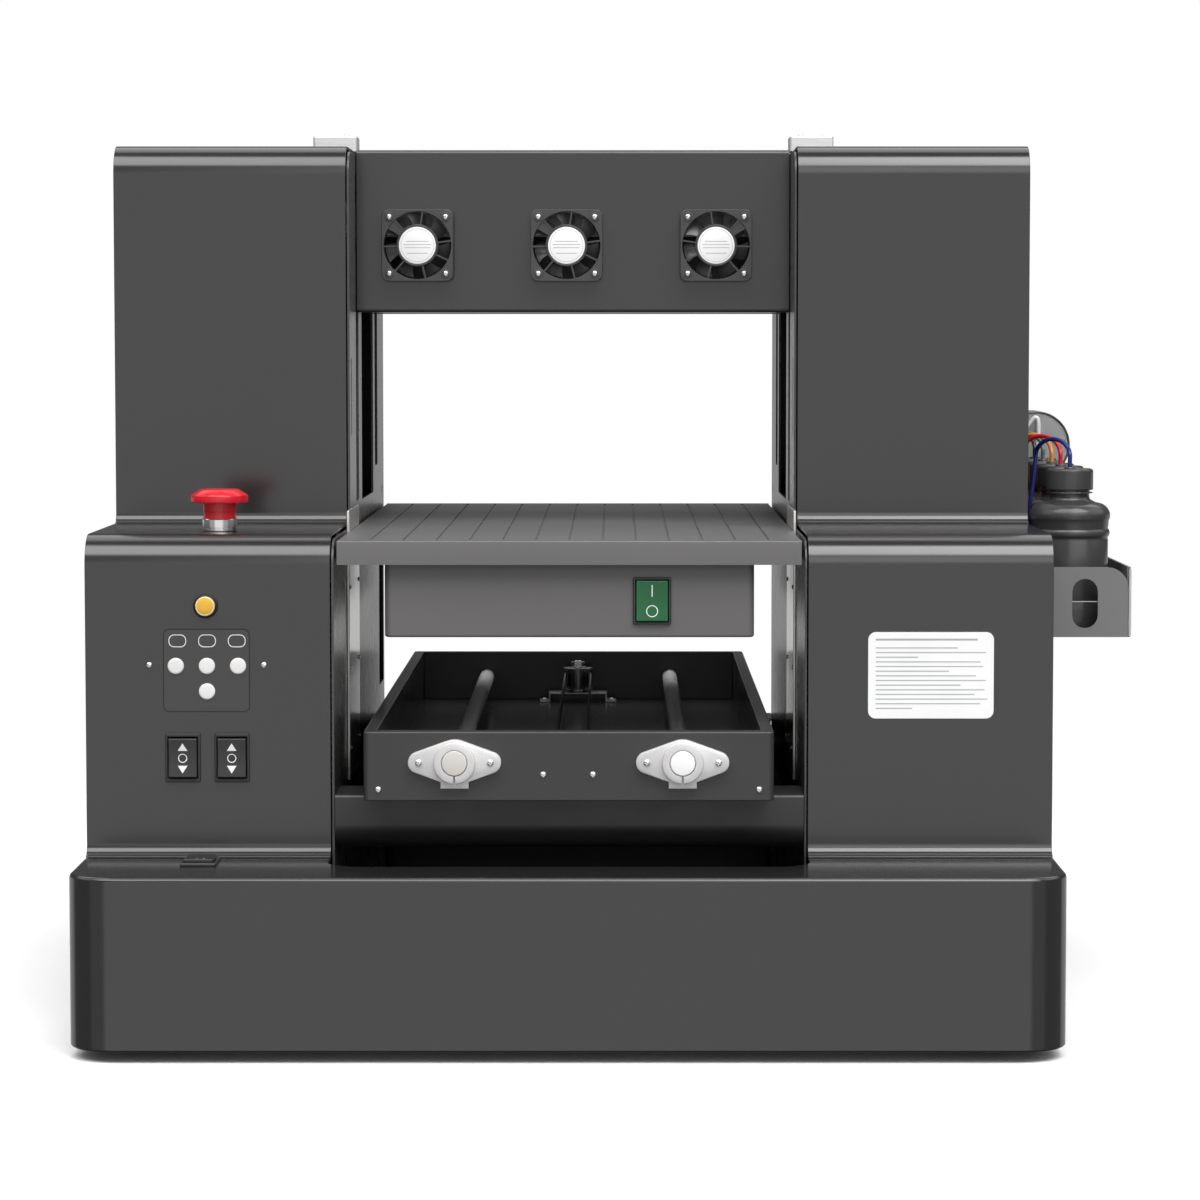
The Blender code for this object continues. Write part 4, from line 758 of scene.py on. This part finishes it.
def bottle_profile():
    profile = [(0.0, 0.0004), (0.0262, 0.0004), (0.0272, 0.0), (0.0282, 0.0005), (0.0289, 0.0020)]
    profile += [(0.0289, 0.0235), (0.0287, 0.0239), (0.0289, 0.0243), (0.0289, 0.0688)]
    profile += [(0.0286, 0.0693), (0.0287, 0.0698)]
    profile += arc_profile(0.0259, 0.0738, 0.0042, -48, 48, 10)
    profile += [(0.0289, 0.0778), (0.0290, 0.0783)]
    profile += arc_profile(0.0223, 0.0868, 0.0081, -28, 10, 6)
    profile += arc_profile(0.0203, 0.0860, 0.0102, 12, 80, 8)
    profile += [(0.0185, 0.0968), (0.0164, 0.0976), (0.0152, 0.0990), (0.0147, 0.1005)]
    profile += [(0.0147, 0.1032), (0.0170, 0.1034), (0.0172, 0.1038), (0.0170, 0.1042), (0.0150, 0.1043)]
    profile += [(0.0150, 0.1058), (0.0172, 0.1059), (0.01755, 0.1064)]
    return profile


CAP_SECTIONS = (
    (0.0168, 0.0, 0.1062), (0.01755, 0.00015, 0.1066), (0.01755, 0.00015, 0.1196), (0.0173, 0.0, 0.1206),
    (0.0166, 0.0, 0.1213), (0.0156, 0.0, 0.1217), (0.0148, 0.0, 0.1215), (0.0143, 0.0, 0.1211),
)


def ribbed(cx, cy, radius, rib, count=96):
    """Circle whose every other point is pulled in by rib."""
    points = []
    for i in range(count):
        reach, turn = radius - (rib if i % 2 else 0), math.tau * i / count
        points.append((cx + reach * math.cos(turn), cy + reach * math.sin(turn)))
    return points


for number in range(5):
    y = BOTTLE_Y + number * PITCH
    build = bmesh.new()
    spin(build, "Z", (BOTTLE_X, y), [(r, z + BOTTLE_FLOOR) for r, z in bottle_profile()], 64)
    body_mesh = to_mesh("bottle", build)
    bottle = add_piece(f"bottle_{number + 1}_shell", body_mesh, BOTTLE, "frame", "bottle_black", angle=50)
    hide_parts(f"ink_bottle_{number + 1}")
    # ribbed screw cap
    build = bmesh.new()
    z = BOTTLE_FLOOR
    loft(build, "Z", [(ribbed(BOTTLE_X, y, radius, rib), z + up) for radius, rib, up in CAP_SECTIONS])
    spin(build, "Z", (BOTTLE_X, y), [(0.0042, z + 0.1208), (0.0042, z + 0.1222), (0.0036, z + 0.1228)], 24)
    put(f"bottle_{number + 1}_cap", build, BOTTLE, "frame", angle=45)

TUBE_COLOURS = {
    "blue": (0.014, 0.023, 0.16),
    "red": (0.62, 0.020, 0.030),
    "orange": (0.75, 0.26, 0.045),
    "green_grey": (0.10, 0.125, 0.12),
    "black": (0.025, 0.025, 0.025),
}
for number, (name, colour) in enumerate(TUBE_COLOURS.items()):
    y = BOTTLE_Y + number * PITCH
    shade = plastic("tube_" + name, colour, 0.22, grain=0.02, spread=0.1)
    top = BOTTLE_FLOOR + 0.1226
    side_x = 0.3475 if number else 0.3515
    span = (BOTTLE_X - side_x) / 2
    points = [at(BOTTLE_X, y, top), at(BOTTLE_X, y, top + 0.004)]
    for step in range(9):
        share = step / 8
        points.append(at(
            BOTTLE_X - span + span * math.cos(math.pi * share),
            y + PITCH / 2 * share,
            top + (0.0096, 0.0083, 0.0076, 0.0076, 0.0076)[number] + span * math.sin(math.pi * share) * 1.02,
        ))
    foot_x = 0.3475 if number else 0.3443
    points += [at(side_x * 0.7 + foot_x * 0.3, y + PITCH / 2, top - 0.012), at(foot_x, y + PITCH / 2, 0.349),
               at(foot_x, y + PITCH / 2, 0.338)]
    build = bmesh.new()
    tube_mesh(build, smooth_path(points, 5), 0.00165, 14)
    tube = put(f"ink_tube_{name}", build, shade, "frame", "tube_blue", angle=60)
    if number == 0:
        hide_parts("ink_tubes")

# white ink stirring tank: dark rim, smoked window, white feed tube
MIX_X, MIX_Y, MIX_Z = 0.3790, 0.490, 0.406
build = bmesh.new()
spin(build, "Y", (MIX_X, MIX_Z), [
    (0.0262, 0.4695), (0.0268, 0.4682), (0.0276, 0.4680), (0.0280, 0.4690), (0.0280, 0.5110),
    (0.0270, 0.5120), (0.0, 0.5120),
], 64)
loft(build, "Y", (
    (rounded_box(0.3423, MIX_X - 0.022, MIX_Z - 0.010, MIX_Z + 0.010, 0.001, 2), MIX_Y - 0.012),
    (rounded_box(0.3423, MIX_X - 0.022, MIX_Z - 0.010, MIX_Z + 0.010, 0.001, 2), MIX_Y + 0.012),
))
tank = put("mixer_tank_body", build, DARK_STEEL, "frame", "smoked_plastic", angle=40)
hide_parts("white_ink_mixer")
piece_of("mixer_window", [
    lambda b: disc(b, "Y", (MIX_X, MIX_Z), 0.0263, 0.4715, 0.4692, 0.0003, 64)
], SMOKE, "frame", "smoked_plastic")
# back plate behind the smoked window, with a painted glow
piece_of("mixer_back_plate_glow", [
    lambda b: disc(b, "Y", (MIX_X, MIX_Z), 0.0262, 0.4735, 0.4720, 0.0003, 64)
], TANK_BACK_GLOW, "frame", "smoked_plastic")
build = bmesh.new()
white_path = [at(0.3630, 0.466, 0.405), at(0.3708, 0.4655, 0.4203), at(0.3750, 0.4650, 0.4265),
              at(0.3779, 0.4645, 0.4287), at(0.3800, 0.4645, 0.4265), at(0.3804, 0.4648, 0.4170),
              at(0.3800, 0.4652, 0.4060)]
tube_mesh(build, smooth_path(white_path, 6), 0.0019, 14)
put("mixer_feed_tube", build, WHITE, "frame", angle=60)

# thin light strip on an edge inside the slot: painted highlight
piece_of("shelf_inner_edge_highlight", [
    lambda b: slab(b, "Z", rounded_box(0.3665, 0.3955, 0.1430, 0.1445, 0.0004, 2), 0.2990, 0.2995)
], SHELF_EDGE_HIGHLIGHT, "frame", "shelf_grey")
# rounded front edge of the shelf's outer wall, drawn as a light strip: painted highlight
piece_of("shelf_outer_edge_highlight", [
    lambda b: slab(b, "Z", circle(0.4143, 0.1402, 0.0010, 16), 0.2740, 0.3236)
], SHELF_EDGE_HIGHLIGHT, "frame", "shelf_grey")


# ---------------------------------------------------------------------------------------------
# Controls
# ---------------------------------------------------------------------------------------------


def mark_outlines(cx, cz, kind, dz, size):
    """Outer outline of a printed mark and, for a ring, the inner one."""
    mid = cz + dz
    low, high = mid - size * 0.8, mid + size * 0.8
    if kind == "up":
        return [(cx - size, low), (cx + size, low), (cx, high)], None
    if kind == "down":
        return [(cx - size, high), (cx, low), (cx + size, high)], None
    if kind == "bar":
        return rounded_box(cx - 0.0004, cx + 0.0004, mid - size, mid + size, 0.0003, 2), None
    return circle(cx, mid, size, 40), circle(cx, mid, size - 0.0006, 40)


def draw_mark(build, outlines, level):
    """Thin printed mark that follows a sloping face: level(z) is the height of the face."""
    outer, inner = outlines
    lift = 0.00006
    top = [build.verts.new(at(x, level(z) - lift, z)) for x, z in outer]
    low = [build.verts.new(at(x, level(z) + 0.0002, z)) for x, z in outer]
    if inner:
        top_in = [build.verts.new(at(x, level(z) - lift, z)) for x, z in inner]
        low_in = [build.verts.new(at(x, level(z) + 0.0002, z)) for x, z in inner]
    for i in range(len(outer)):
        j = (i + 1) % len(outer)
        build.faces.new((top[i], top[j], low[j], low[i]))
        if inner:
            build.faces.new((top_in[j], top_in[i], low_in[i], low_in[j]))
            build.faces.new((top[j], top[i], top_in[i], top_in[j]))
            build.faces.new((low[i], low[j], low_in[j], low_in[i]))
    if not inner:
        build.faces.new(top)
        build.faces.new(low)


def rocker_parts(half_x, half_z, proud, dip):
    """Paddle sections along x; the face is a shallow V with rounded ends."""
    ease = 0.0006
    return [
        (-proud + ease * 0.2, half_z - 0.0001), (-proud, half_z - ease),
        (-proud + dip * 0.5, half_z * 0.5), (-proud + dip, 0.0), (-proud + dip * 0.5, -half_z * 0.5),
        (-proud, -half_z + ease), (-proud + ease * 0.2, -half_z + 0.0001), (0.0, -half_z),
        (0.006, -half_z + 0.003), (0.006, half_z - 0.003), (0.0, half_z),
    ]


def upright_rocker(label, node, frame_node, cx, cz, body, size, proud, dip, paddle, outer, front, shapes):
    """Rocker on a vertical face at y = front."""
    half_x, half_z = size[0] / 2, size[1] / 2
    outline = [(y + front, z + cz) for y, z in rocker_parts(half_x, half_z, proud, dip)]
    build = bmesh.new()
    slab(build, "X", outline, cx - half_x, cx + half_x)
    piece = put(label + "_paddle", build, paddle, body, SLOTS[node], 30, 0.0005, 3)
    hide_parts(node)
    build = bmesh.new()
    for kind, dz, size in shapes:
        draw_mark(build, mark_outlines(cx, cz, kind, dz, size),
                  lambda z: front - proud + dip * (1 - abs(z - cz) / (half_z - 0.0006)))
    put(label + "_marks", build, PRINT, body)
    if frame_node:
        build = bmesh.new()
        ox, oz = outer[0] / 2, outer[1] / 2
        ix, iz = half_x + 0.0003, half_z + 0.0007
        sections = (
            (ox, oz, 0.0010, -0.0003), (ox, oz, 0.0010, -0.0016),
            (ox - 0.0003, oz - 0.0003, 0.0009, -0.0021), (ox - 0.0008, oz - 0.0008, 0.0008, -0.0023),
            (ix + 0.0008, iz + 0.0008, 0.0006, -0.0023),
            (ix, iz, 0.0004, -0.0014), (ix, iz, 0.0004, 0.010), (ix + 0.001, iz + 0.0007, 0.0004, 0.010),
            (ix + 0.001, iz + 0.0007, 0.0004, -0.0003),
        )
        loft(build, "Y", [(framed(cx, cz, *size), front + y) for *size, y in sections], closed=True)
        piece = put(label + "_surround", build, BLACK,
                          BODY_OF.get(frame_node, "frame"), "black_plastic", 30)
        if frame_node in BODY_OF:
            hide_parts(frame_node)


MARKS = (("up", 0.0078, 0.0034), ("ring", -0.0002, 0.0032), ("down", -0.0082, 0.0034))
for label, cx in (("beam", -0.2733), ("table", -0.2386)):
    upright_rocker(label + "_switch", label + "_rocker", label + "_rocker_frame", cx, 0.1985,
                   label + "_switch", (0.0200, 0.0276), 0.0046, 0.0016, BLACK, (0.0248, 0.0350), 0.0, MARKS)

upright_rocker("power_switch", "power_rocker", "", 0.0586, 0.309, "power_switch", (0.0225, 0.0290), 0.0036,
               0.0010, GREEN, (0.0255, 0.0315), 0.010,
               (("bar", 0.0072, 0.0042), ("ring", -0.0072, 0.0042)))
# surround of the power rocker, on the vacuum box
build = bmesh.new()
power_frame = (
    (0.01155, 0.0148, 0.0005, 0.0098), (0.01345, 0.0166, 0.0010, 0.0098), (0.01345, 0.0166, 0.0010, 0.0079),
    (0.01295, 0.0161, 0.0008, 0.0074), (0.01215, 0.0154, 0.0006, 0.0074), (0.01155, 0.0148, 0.0005, 0.0082),
)
loft(build, "Y", [(framed(0.0586, 0.309, *size), y) for *size, y in power_frame], closed=True)
put("power_switch_surround", build, BLACK, "table", "black_plastic", 30)

# rocker lying on the base
build = bmesh.new()
cx, cy, top = -0.2580, -0.0355, BASE_TOP
outline = [(cy + z, top - y) for y, z in rocker_parts(0.010, 0.0138, 0.0046, 0.0016)]
slab(build, "X", outline, cx - 0.010, cx + 0.010)
piece = put("base_switch_paddle", build, BLACK, "base_switch", "black_plastic",
                  30, 0.0005, 3)
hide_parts("base_rocker")
build = bmesh.new()
z = top + 0.0031
line = [(cx - 0.003, cy + 0.0046), (cx + 0.003, cy + 0.0046), (cx, cy + 0.0094)]
slab(build, "Z", line, z, z + 0.0001)
ring_band(build, "Z", circle(cx, cy, 0.0030, 40), circle(cx, cy, 0.0025, 40), z - 0.0001, z + 0.0001)
line = [(cx - 0.003, cy - 0.0048), (cx, cy - 0.0096), (cx + 0.003, cy - 0.0048)]
slab(build, "Z", line, z, z + 0.0001)
put("base_switch_marks", build, PRINT, "base_switch")
build = bmesh.new()
sections = (
    (0.0124, 0.0175, 0.001, 0.0003), (0.0124, 0.0175, 0.001, 0.0016), (0.0121, 0.0172, 0.0009, 0.0021),
    (0.0116, 0.0167, 0.0008, 0.0023), (0.0111, 0.0153, 0.0006, 0.0023), (0.0103, 0.0145, 0.0004, 0.0014),
    (0.0103, 0.0145, 0.0004, -0.010), (0.0113, 0.0151, 0.0004, -0.010), (0.0113, 0.0151, 0.0004, 0.0003),
)
loft(build, "Z", [(framed(cx, cy, *size), top + z) for *size, z in sections], closed=True)
piece = put("base_switch_surround", build, BLACK, "frame", "black_plastic", 30)
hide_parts("base_rocker_frame")

# keypad: film, engraved border in painted shade, three lamp outlines, four keys
film = rounded_box(-0.2869, -0.2258, 0.2309, 0.2898, 0.0042, 6)
film_inner = rounded_box(-0.2864, -0.2263, 0.2314, 0.2893, 0.0037, 6)
piece_of("keypad_border_shade", [lambda b: ring_band(b, "Y", film, film_inner, 0.0, -0.00022)], SHADE_BLACK, "frame")
piece_of("keypad_film", [lambda b: slab(b, "Y", film_inner, 0.0, -0.00012)],
         paint("keypad_film_black", (0.026, 0.025, 0.026), 0.20, level=0.84), "frame")
build = bmesh.new()
for x in (-0.2768, -0.2558, -0.2348):
    ring_band(build, "Y", rounded_box(x - 0.00625, x + 0.00625, 0.2768, 0.2858, 0.0040, 8),
              rounded_box(x - 0.00570, x + 0.00570, 0.27735, 0.28525, 0.0035, 8), -0.0001, -0.0002)
put("keypad_lamp_outlines", build, PRINT, "frame")
KEYS = ((-0.2780, 0.2635), (-0.2560, 0.2635), (-0.2340, 0.2635), (-0.2560, 0.2455))
for number, (x, z) in enumerate(KEYS):
    profile = [(0.00575, 0.0040), (0.00575, -0.0009), (0.00560, -0.0013), (0.00525, -0.0016),
               (0.0047, -0.0017), (0.0030, -0.00178), (0.0, -0.0018)]
    key = spun(f"key_{number + 1}_cap", "Y", (x, z), profile, WHITE, f"key_cap_{number + 1}",
               "white_plastic")
    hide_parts(f"key_{number + 1}")
screws("keypad_screws", "Y", [(-0.2968, 0.2640), (-0.2158, 0.2640)], 0.0023, 0.0, -1, "frame")

# yellow button: gold dome, cream rim, black bezel
x, z = -0.2567, 0.306
profile = [(0.00690, 0.0120), (0.00690, -0.0040), (0.00670, -0.0047), (0.0062, -0.0050), (0.0060, -0.0048)]
cap = spun("yellow_button_rim", "Y", (x, z), profile, CREAM, "yellow_cap", "yellow_plastic", 56)
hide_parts("yellow_button")
profile = [(0.0060, -0.0044), (0.0058, -0.0049), (0.0050, -0.0052), (0.0030, -0.0054), (0.0, -0.00545)]
spun("yellow_button_dome", "Y", (x, z), profile, YELLOW, "yellow_cap", "yellow_plastic", 56)
profile = [(0.0072, 0.0), (0.0088, 0.0), (0.0088, -0.0012), (0.0084, -0.0024), (0.0079, -0.0030),
           (0.0074, -0.0028), (0.0072, -0.0020)]
spun("yellow_button_bezel", "Y", (x, z), profile, BLACK, "frame", None, 56, closed=True)

# notice plate on the right-hand tower: blank sheet with ruled lines
notice = rounded_box(0.2112, 0.3000, 0.2262, 0.2875, 0.0055, 8)
piece_of("notice_plate", [lambda b: slab(b, "Y", notice, 0.0, -0.00025)], NOTICE, "frame", bevel=0.0001)
build = bmesh.new()
lengths = (0.058, 0.078, 0.030, 0.074, 0.076, 0.052, 0.071, 0.078, 0.060, 0.077, 0.070, 0.079, 0.074, 0.026)
LINES = [(0.2822, 0.072, 0.0007)]
LINES += [(0.2763 - 0.0033 * row, length, 0.0004) for row, length in enumerate(lengths)]
for z, length, half in LINES:
    slab(build, "Y", rounded_box(0.2165, 0.2165 + length, z - half, z + half, 0.0003, 2), -0.00025, -0.00029)
put("notice_rules", build, RULE, "frame")

# stop button: collar, sleeve inside its neck, mushroom head
x, y = -0.2524, 0.060
build = bmesh.new()
profile = (
    (0.0110, 0.3563), (0.0124, 0.3563), (0.01265, 0.3567), (0.01265, 0.3577), (0.0119, 0.3580),
    (0.0119, 0.3585), (0.01265, 0.3588), (0.01265, 0.3644), (0.0122, 0.3650), (0.0110, 0.3650),
)
spin(build, "Z", (x, y), profile, 72, closed=True)
collar = put("stop_collar_knurled", build, CHROME, "frame", "steel", angle=28)
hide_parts("stop_button_collar")
spun("stop_inner_sleeve", "Z", (x, y), [(0.0090, 0.3560), (0.0108, 0.3562), (0.0108, 0.3651),
                                        (0.0117, 0.3651), (0.0117, 0.3700), (0.0090, 0.3700)],
     RED, "frame", None, 56, closed=True)
profile = [(0.0060, 0.3420), (0.0065, 0.3430), (0.0065, 0.3754), (0.0119, 0.3755), (0.0119, 0.3702),
           (0.0121, 0.3702), (0.0121, 0.3760), (0.0190, 0.3764), (0.0202, 0.3767), (0.0206, 0.3775),
           (0.0206, 0.3814), (0.0203, 0.3821), (0.0146, 0.3856), (0.0140, 0.3860), (0.0132, 0.3862),
           (0.0080, 0.3864), (0.0, 0.3864)]
head = spun("stop_mushroom", "Z", (x, y), profile, RED, "stop_head", "red_plastic", 72)
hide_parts("stop_button")


# ---------------------------------------------------------------------------------------------
# Rear and side details
# ---------------------------------------------------------------------------------------------

# louvres low in the rear of each tower, and the mains inlet in the rear of the base
for side, side_name in ((-1, "left"), (1, "right")):
    # the vent openings under the louvres are near-black sheets: painted shade in the openings
    build = bmesh.new()
    cx = side * 0.255
    for row in range(9):
        z = 0.470 + row * 0.0105
        outline = rounded_box(cx - 0.046, cx + 0.046, z - 0.0020, z + 0.0020, 0.0018, 4)
        slab(build, "Y", outline, 0.6015, 0.6023)
    put(f"rear_vent_slot_shade_{side_name}", build, SHADE_BLACK, "frame")
    build = bmesh.new()
    for row in range(9):
        z = 0.470 + row * 0.0105
        outline = [(0.6020, z + 0.0030), (0.6038, z - 0.0010), (0.6038, z - 0.0018), (0.6020, z + 0.0018)]
        slab(build, "X", outline, cx - 0.045, cx + 0.045)
    put(f"rear_louvres_{side_name}", build, COVER, "frame", "black_cover")
    places = [(side * px, pz) for px in (0.184, 0.327) for pz in (0.150, 0.385, 0.615)]
    screws(f"rear_screws_{side_name}", "Y", places, 0.0026, TOWER_REAR, 1, "frame")
    places = [(py, pz) for py, pz in ((0.020, 0.145), (0.580, 0.145), (0.020, 0.320), (0.580, 0.360),
                                      (0.200, 0.600), (0.580, 0.600))]
    screws(f"side_screws_{side_name}", "X", places, 0.0026, side * TOWER_SIDE, side, "frame")

build = bmesh.new()
x, z = -0.255, 0.068
ring_band(build, "Y", rounded_box(x - 0.0150, x + 0.0150, z - 0.0120, z + 0.0120, 0.003, 6),
          rounded_box(x - 0.0125, x + 0.0125, z - 0.0095, z + 0.0095, 0.002, 6), BASE_REAR, 0.6630)
slab(build, "Y", rounded_box(x - 0.0240, x + 0.0240, z - 0.0145, z + 0.0145, 0.003, 6), BASE_REAR, 0.6612)
slab(build, "Y", rounded_box(x - 0.0105, x + 0.0105, z - 0.0065, z + 0.0065, 0.002, 6), 0.6612, 0.6622)
put("mains_inlet", build, BLACK, "frame", "black_plastic", bevel=0.0003)
build = bmesh.new()
for dx, dz in ((-0.007, -0.002), (0.0, 0.0025), (0.007, -0.002)):
    px, pz = x + dx, z + dz
    outline = rounded_box(px - 0.0011, px + 0.0011, pz - 0.003, pz + 0.003, 0.0004, 2)
    slab(build, "Y", outline, 0.6622, 0.6628)
put("mains_inlet_pins", build, CHROME, "frame")
screws("mains_inlet_screws", "Y", [(x - 0.020, z), (x + 0.020, z)], 0.0019, 0.6612, 1, "frame")

# small fasteners on the lifting plates
for side, side_name in ((-1, "left"), (1, "right")):
    places = [(0.146, z) for z in (0.190, 0.250, 0.310)] + [(0.240, z) for z in (0.190, 0.250, 0.310)]
    screws(f"lift_plate_screws_{side_name}", "X", places, 0.0016, side * 0.1644, -side, "table_lift")


# ---------------------------------------------------------------------------------------------
# Studio
# ---------------------------------------------------------------------------------------------


def link_value(tree, value, socket):
    if isinstance(value, (int, float)):
        socket.default_value = value
    else:
        tree.links.new(value, socket)


def maths(tree, operation, first, second=0.0):
    step = tree.nodes.new("ShaderNodeMath")
    step.operation = operation
    link_value(tree, first, step.inputs[0])
    link_value(tree, second, step.inputs[1])
    return step.outputs[0]


def rise(tree, source, start, end, low=0.0, high=1.0):
    """Smooth step of a node value from low at start to high at end."""
    step = tree.nodes.new("ShaderNodeMapRange")
    step.interpolation_type = "SMOOTHSTEP"
    step.inputs["From Min"].default_value = start
    step.inputs["From Max"].default_value = end
    step.inputs["To Min"].default_value = low
    step.inputs["To Max"].default_value = high
    tree.links.new(source, step.inputs["Value"])
    return step.outputs["Result"]


def stage_floor():
    """White sweep: takes soft shadows near the printer and is evenly white further away."""
    build = bmesh.new()
    size = 14.0
    corners = ((-size, -size), (size, -size), (size, size), (-size, size))
    build.faces.new([build.verts.new((x, y, 0.0)) for x, y in corners])
    made, tree, shader = node_material("studio_floor")
    tone = remap(tree, object_noise(tree, 1.5, 2.0), 0.985, 1.0)
    tree.links.new(tint(tree, (0.95, 0.95, 0.95), tone), shader.inputs["Base Color"])
    shader.inputs["Roughness"].default_value = 0.9
    shader.inputs["Specular IOR Level"].default_value = 0.0
    glow = tree.nodes.new("ShaderNodeEmission")
    place = tree.nodes.new("ShaderNodeTexCoord")
    reach = tree.nodes.new("ShaderNodeVectorMath")
    reach.operation = "LENGTH"
    tree.links.new(place.outputs["Object"], reach.inputs[0])
    blend = tree.nodes.new("ShaderNodeMixShader")
    tree.links.new(rise(tree, reach.outputs["Value"], 0.55, 1.25), blend.inputs["Fac"])
    tree.links.new(shader.outputs["BSDF"], blend.inputs[1])
    tree.links.new(glow.outputs["Emission"], blend.inputs[2])
    tree.links.new(blend.outputs["Shader"], tree.nodes["Material Output"].inputs["Surface"])
    mesh = to_mesh("studio_floor", build)
    mesh.materials.append(made)
    floor = bpy.data.objects.new("studio_floor", mesh)
    floor.visible_glossy = False
    floor.visible_diffuse = False
    bpy.context.scene.collection.objects.link(floor)


# Soft boxes: elevation from and to, azimuth centre and half width (0 = in front, 90 = right), in degrees,
# then brightness, then the softness of the edges
SOFT_BOXES = (
    (39, 76, 34, 28, 6.4, 4.0),
    (39, 76, -30, 37, 4.2, 4.0),
    (12, 34, 22, 27, 1.70, 4.0),
    (-30, 13, 0, 27, 0.77, 4.0),
    (-30, 13, 44.5, 17.5, 0.27, 3.0),
    (-30, 13, -44.5, 17.5, 0.27, 3.0),
    (-30, 2, 90, 28, 0.08, 4.0),
    (-30, 2, -90, 28, 0.08, 4.0),
    (-30, 1.5, 180, 60, 0.50, 1.5),
    (20, 55, 92, 26, 1.20, 6.0),
    (20, 55, -92, 26, 1.00, 6.0),
    (35, 75, 180, 55, 1.60, 6.0),
)
AMBIENT = 0.09


def studio_world():
    world = bpy.data.worlds.new("studio")
    bpy.context.scene.world = world
    world.use_nodes = True
    tree = world.node_tree
    shade = tree.nodes["Background"]
    place = tree.nodes.new("ShaderNodeTexCoord")
    split = tree.nodes.new("ShaderNodeSeparateXYZ")
    tree.links.new(place.outputs["Generated"], split.inputs["Vector"])
    x, y, z = (split.outputs[axis] for axis in "XYZ")
    elevation = maths(tree, "ARCSINE", z)
    total = AMBIENT
    for low, high, centre, half, level, soft in SOFT_BOXES:
        turn = math.radians(centre)
        # azimuth measured from the middle of this box
        ahead = maths(tree, "ADD", maths(tree, "MULTIPLY", x, math.sin(turn)),
                      maths(tree, "MULTIPLY", y, -math.cos(turn)))
        across = maths(tree, "ADD", maths(tree, "MULTIPLY", x, math.cos(turn)),
                       maths(tree, "MULTIPLY", y, math.sin(turn)))
        azimuth = maths(tree, "ABSOLUTE", maths(tree, "ARCTAN2", across, ahead))
        edge = math.radians(soft)
        up = rise(tree, elevation, math.radians(low) - edge, math.radians(low) + edge)
        down = rise(tree, elevation, math.radians(high) - edge, math.radians(high) + edge, 1.0, 0.0)
        wide = rise(tree, azimuth, math.radians(half) - edge, math.radians(half) + edge, 1.0, 0.0)
        part = maths(tree, "MULTIPLY", maths(tree, "MULTIPLY", up, down), wide)
        total = maths(tree, "ADD", total, maths(tree, "MULTIPLY", part, level))
    ray = tree.nodes.new("ShaderNodeLightPath")
    seen = ray.outputs["Is Camera Ray"]
    others = maths(tree, "SUBTRACT", 1.0, seen)
    strength = maths(tree, "MAXIMUM", seen, maths(tree, "MULTIPLY", total, others))
    tree.links.new(strength, shade.inputs["Strength"])
    shade.inputs["Color"].default_value = (1.0, 1.0, 1.0, 1.0)


def camera():
    lens = bpy.data.cameras.new("camera")
    lens.sensor_width = 36.0
    lens.lens = 116.95
    lens.shift_x = -0.01414
    lens.clip_end = 60.0
    eye = bpy.data.objects.new("camera", lens)
    bpy.context.scene.collection.objects.link(eye)
    eye.location = (-0.00203, -3.0194, 0.4981)
    eye.rotation_euler = (math.radians(90 - 3.9157), 0, 0)
    bpy.context.scene.camera = eye


stage_floor()
studio_world()
camera()
bpy.context.scene.view_settings.view_transform = "Standard"
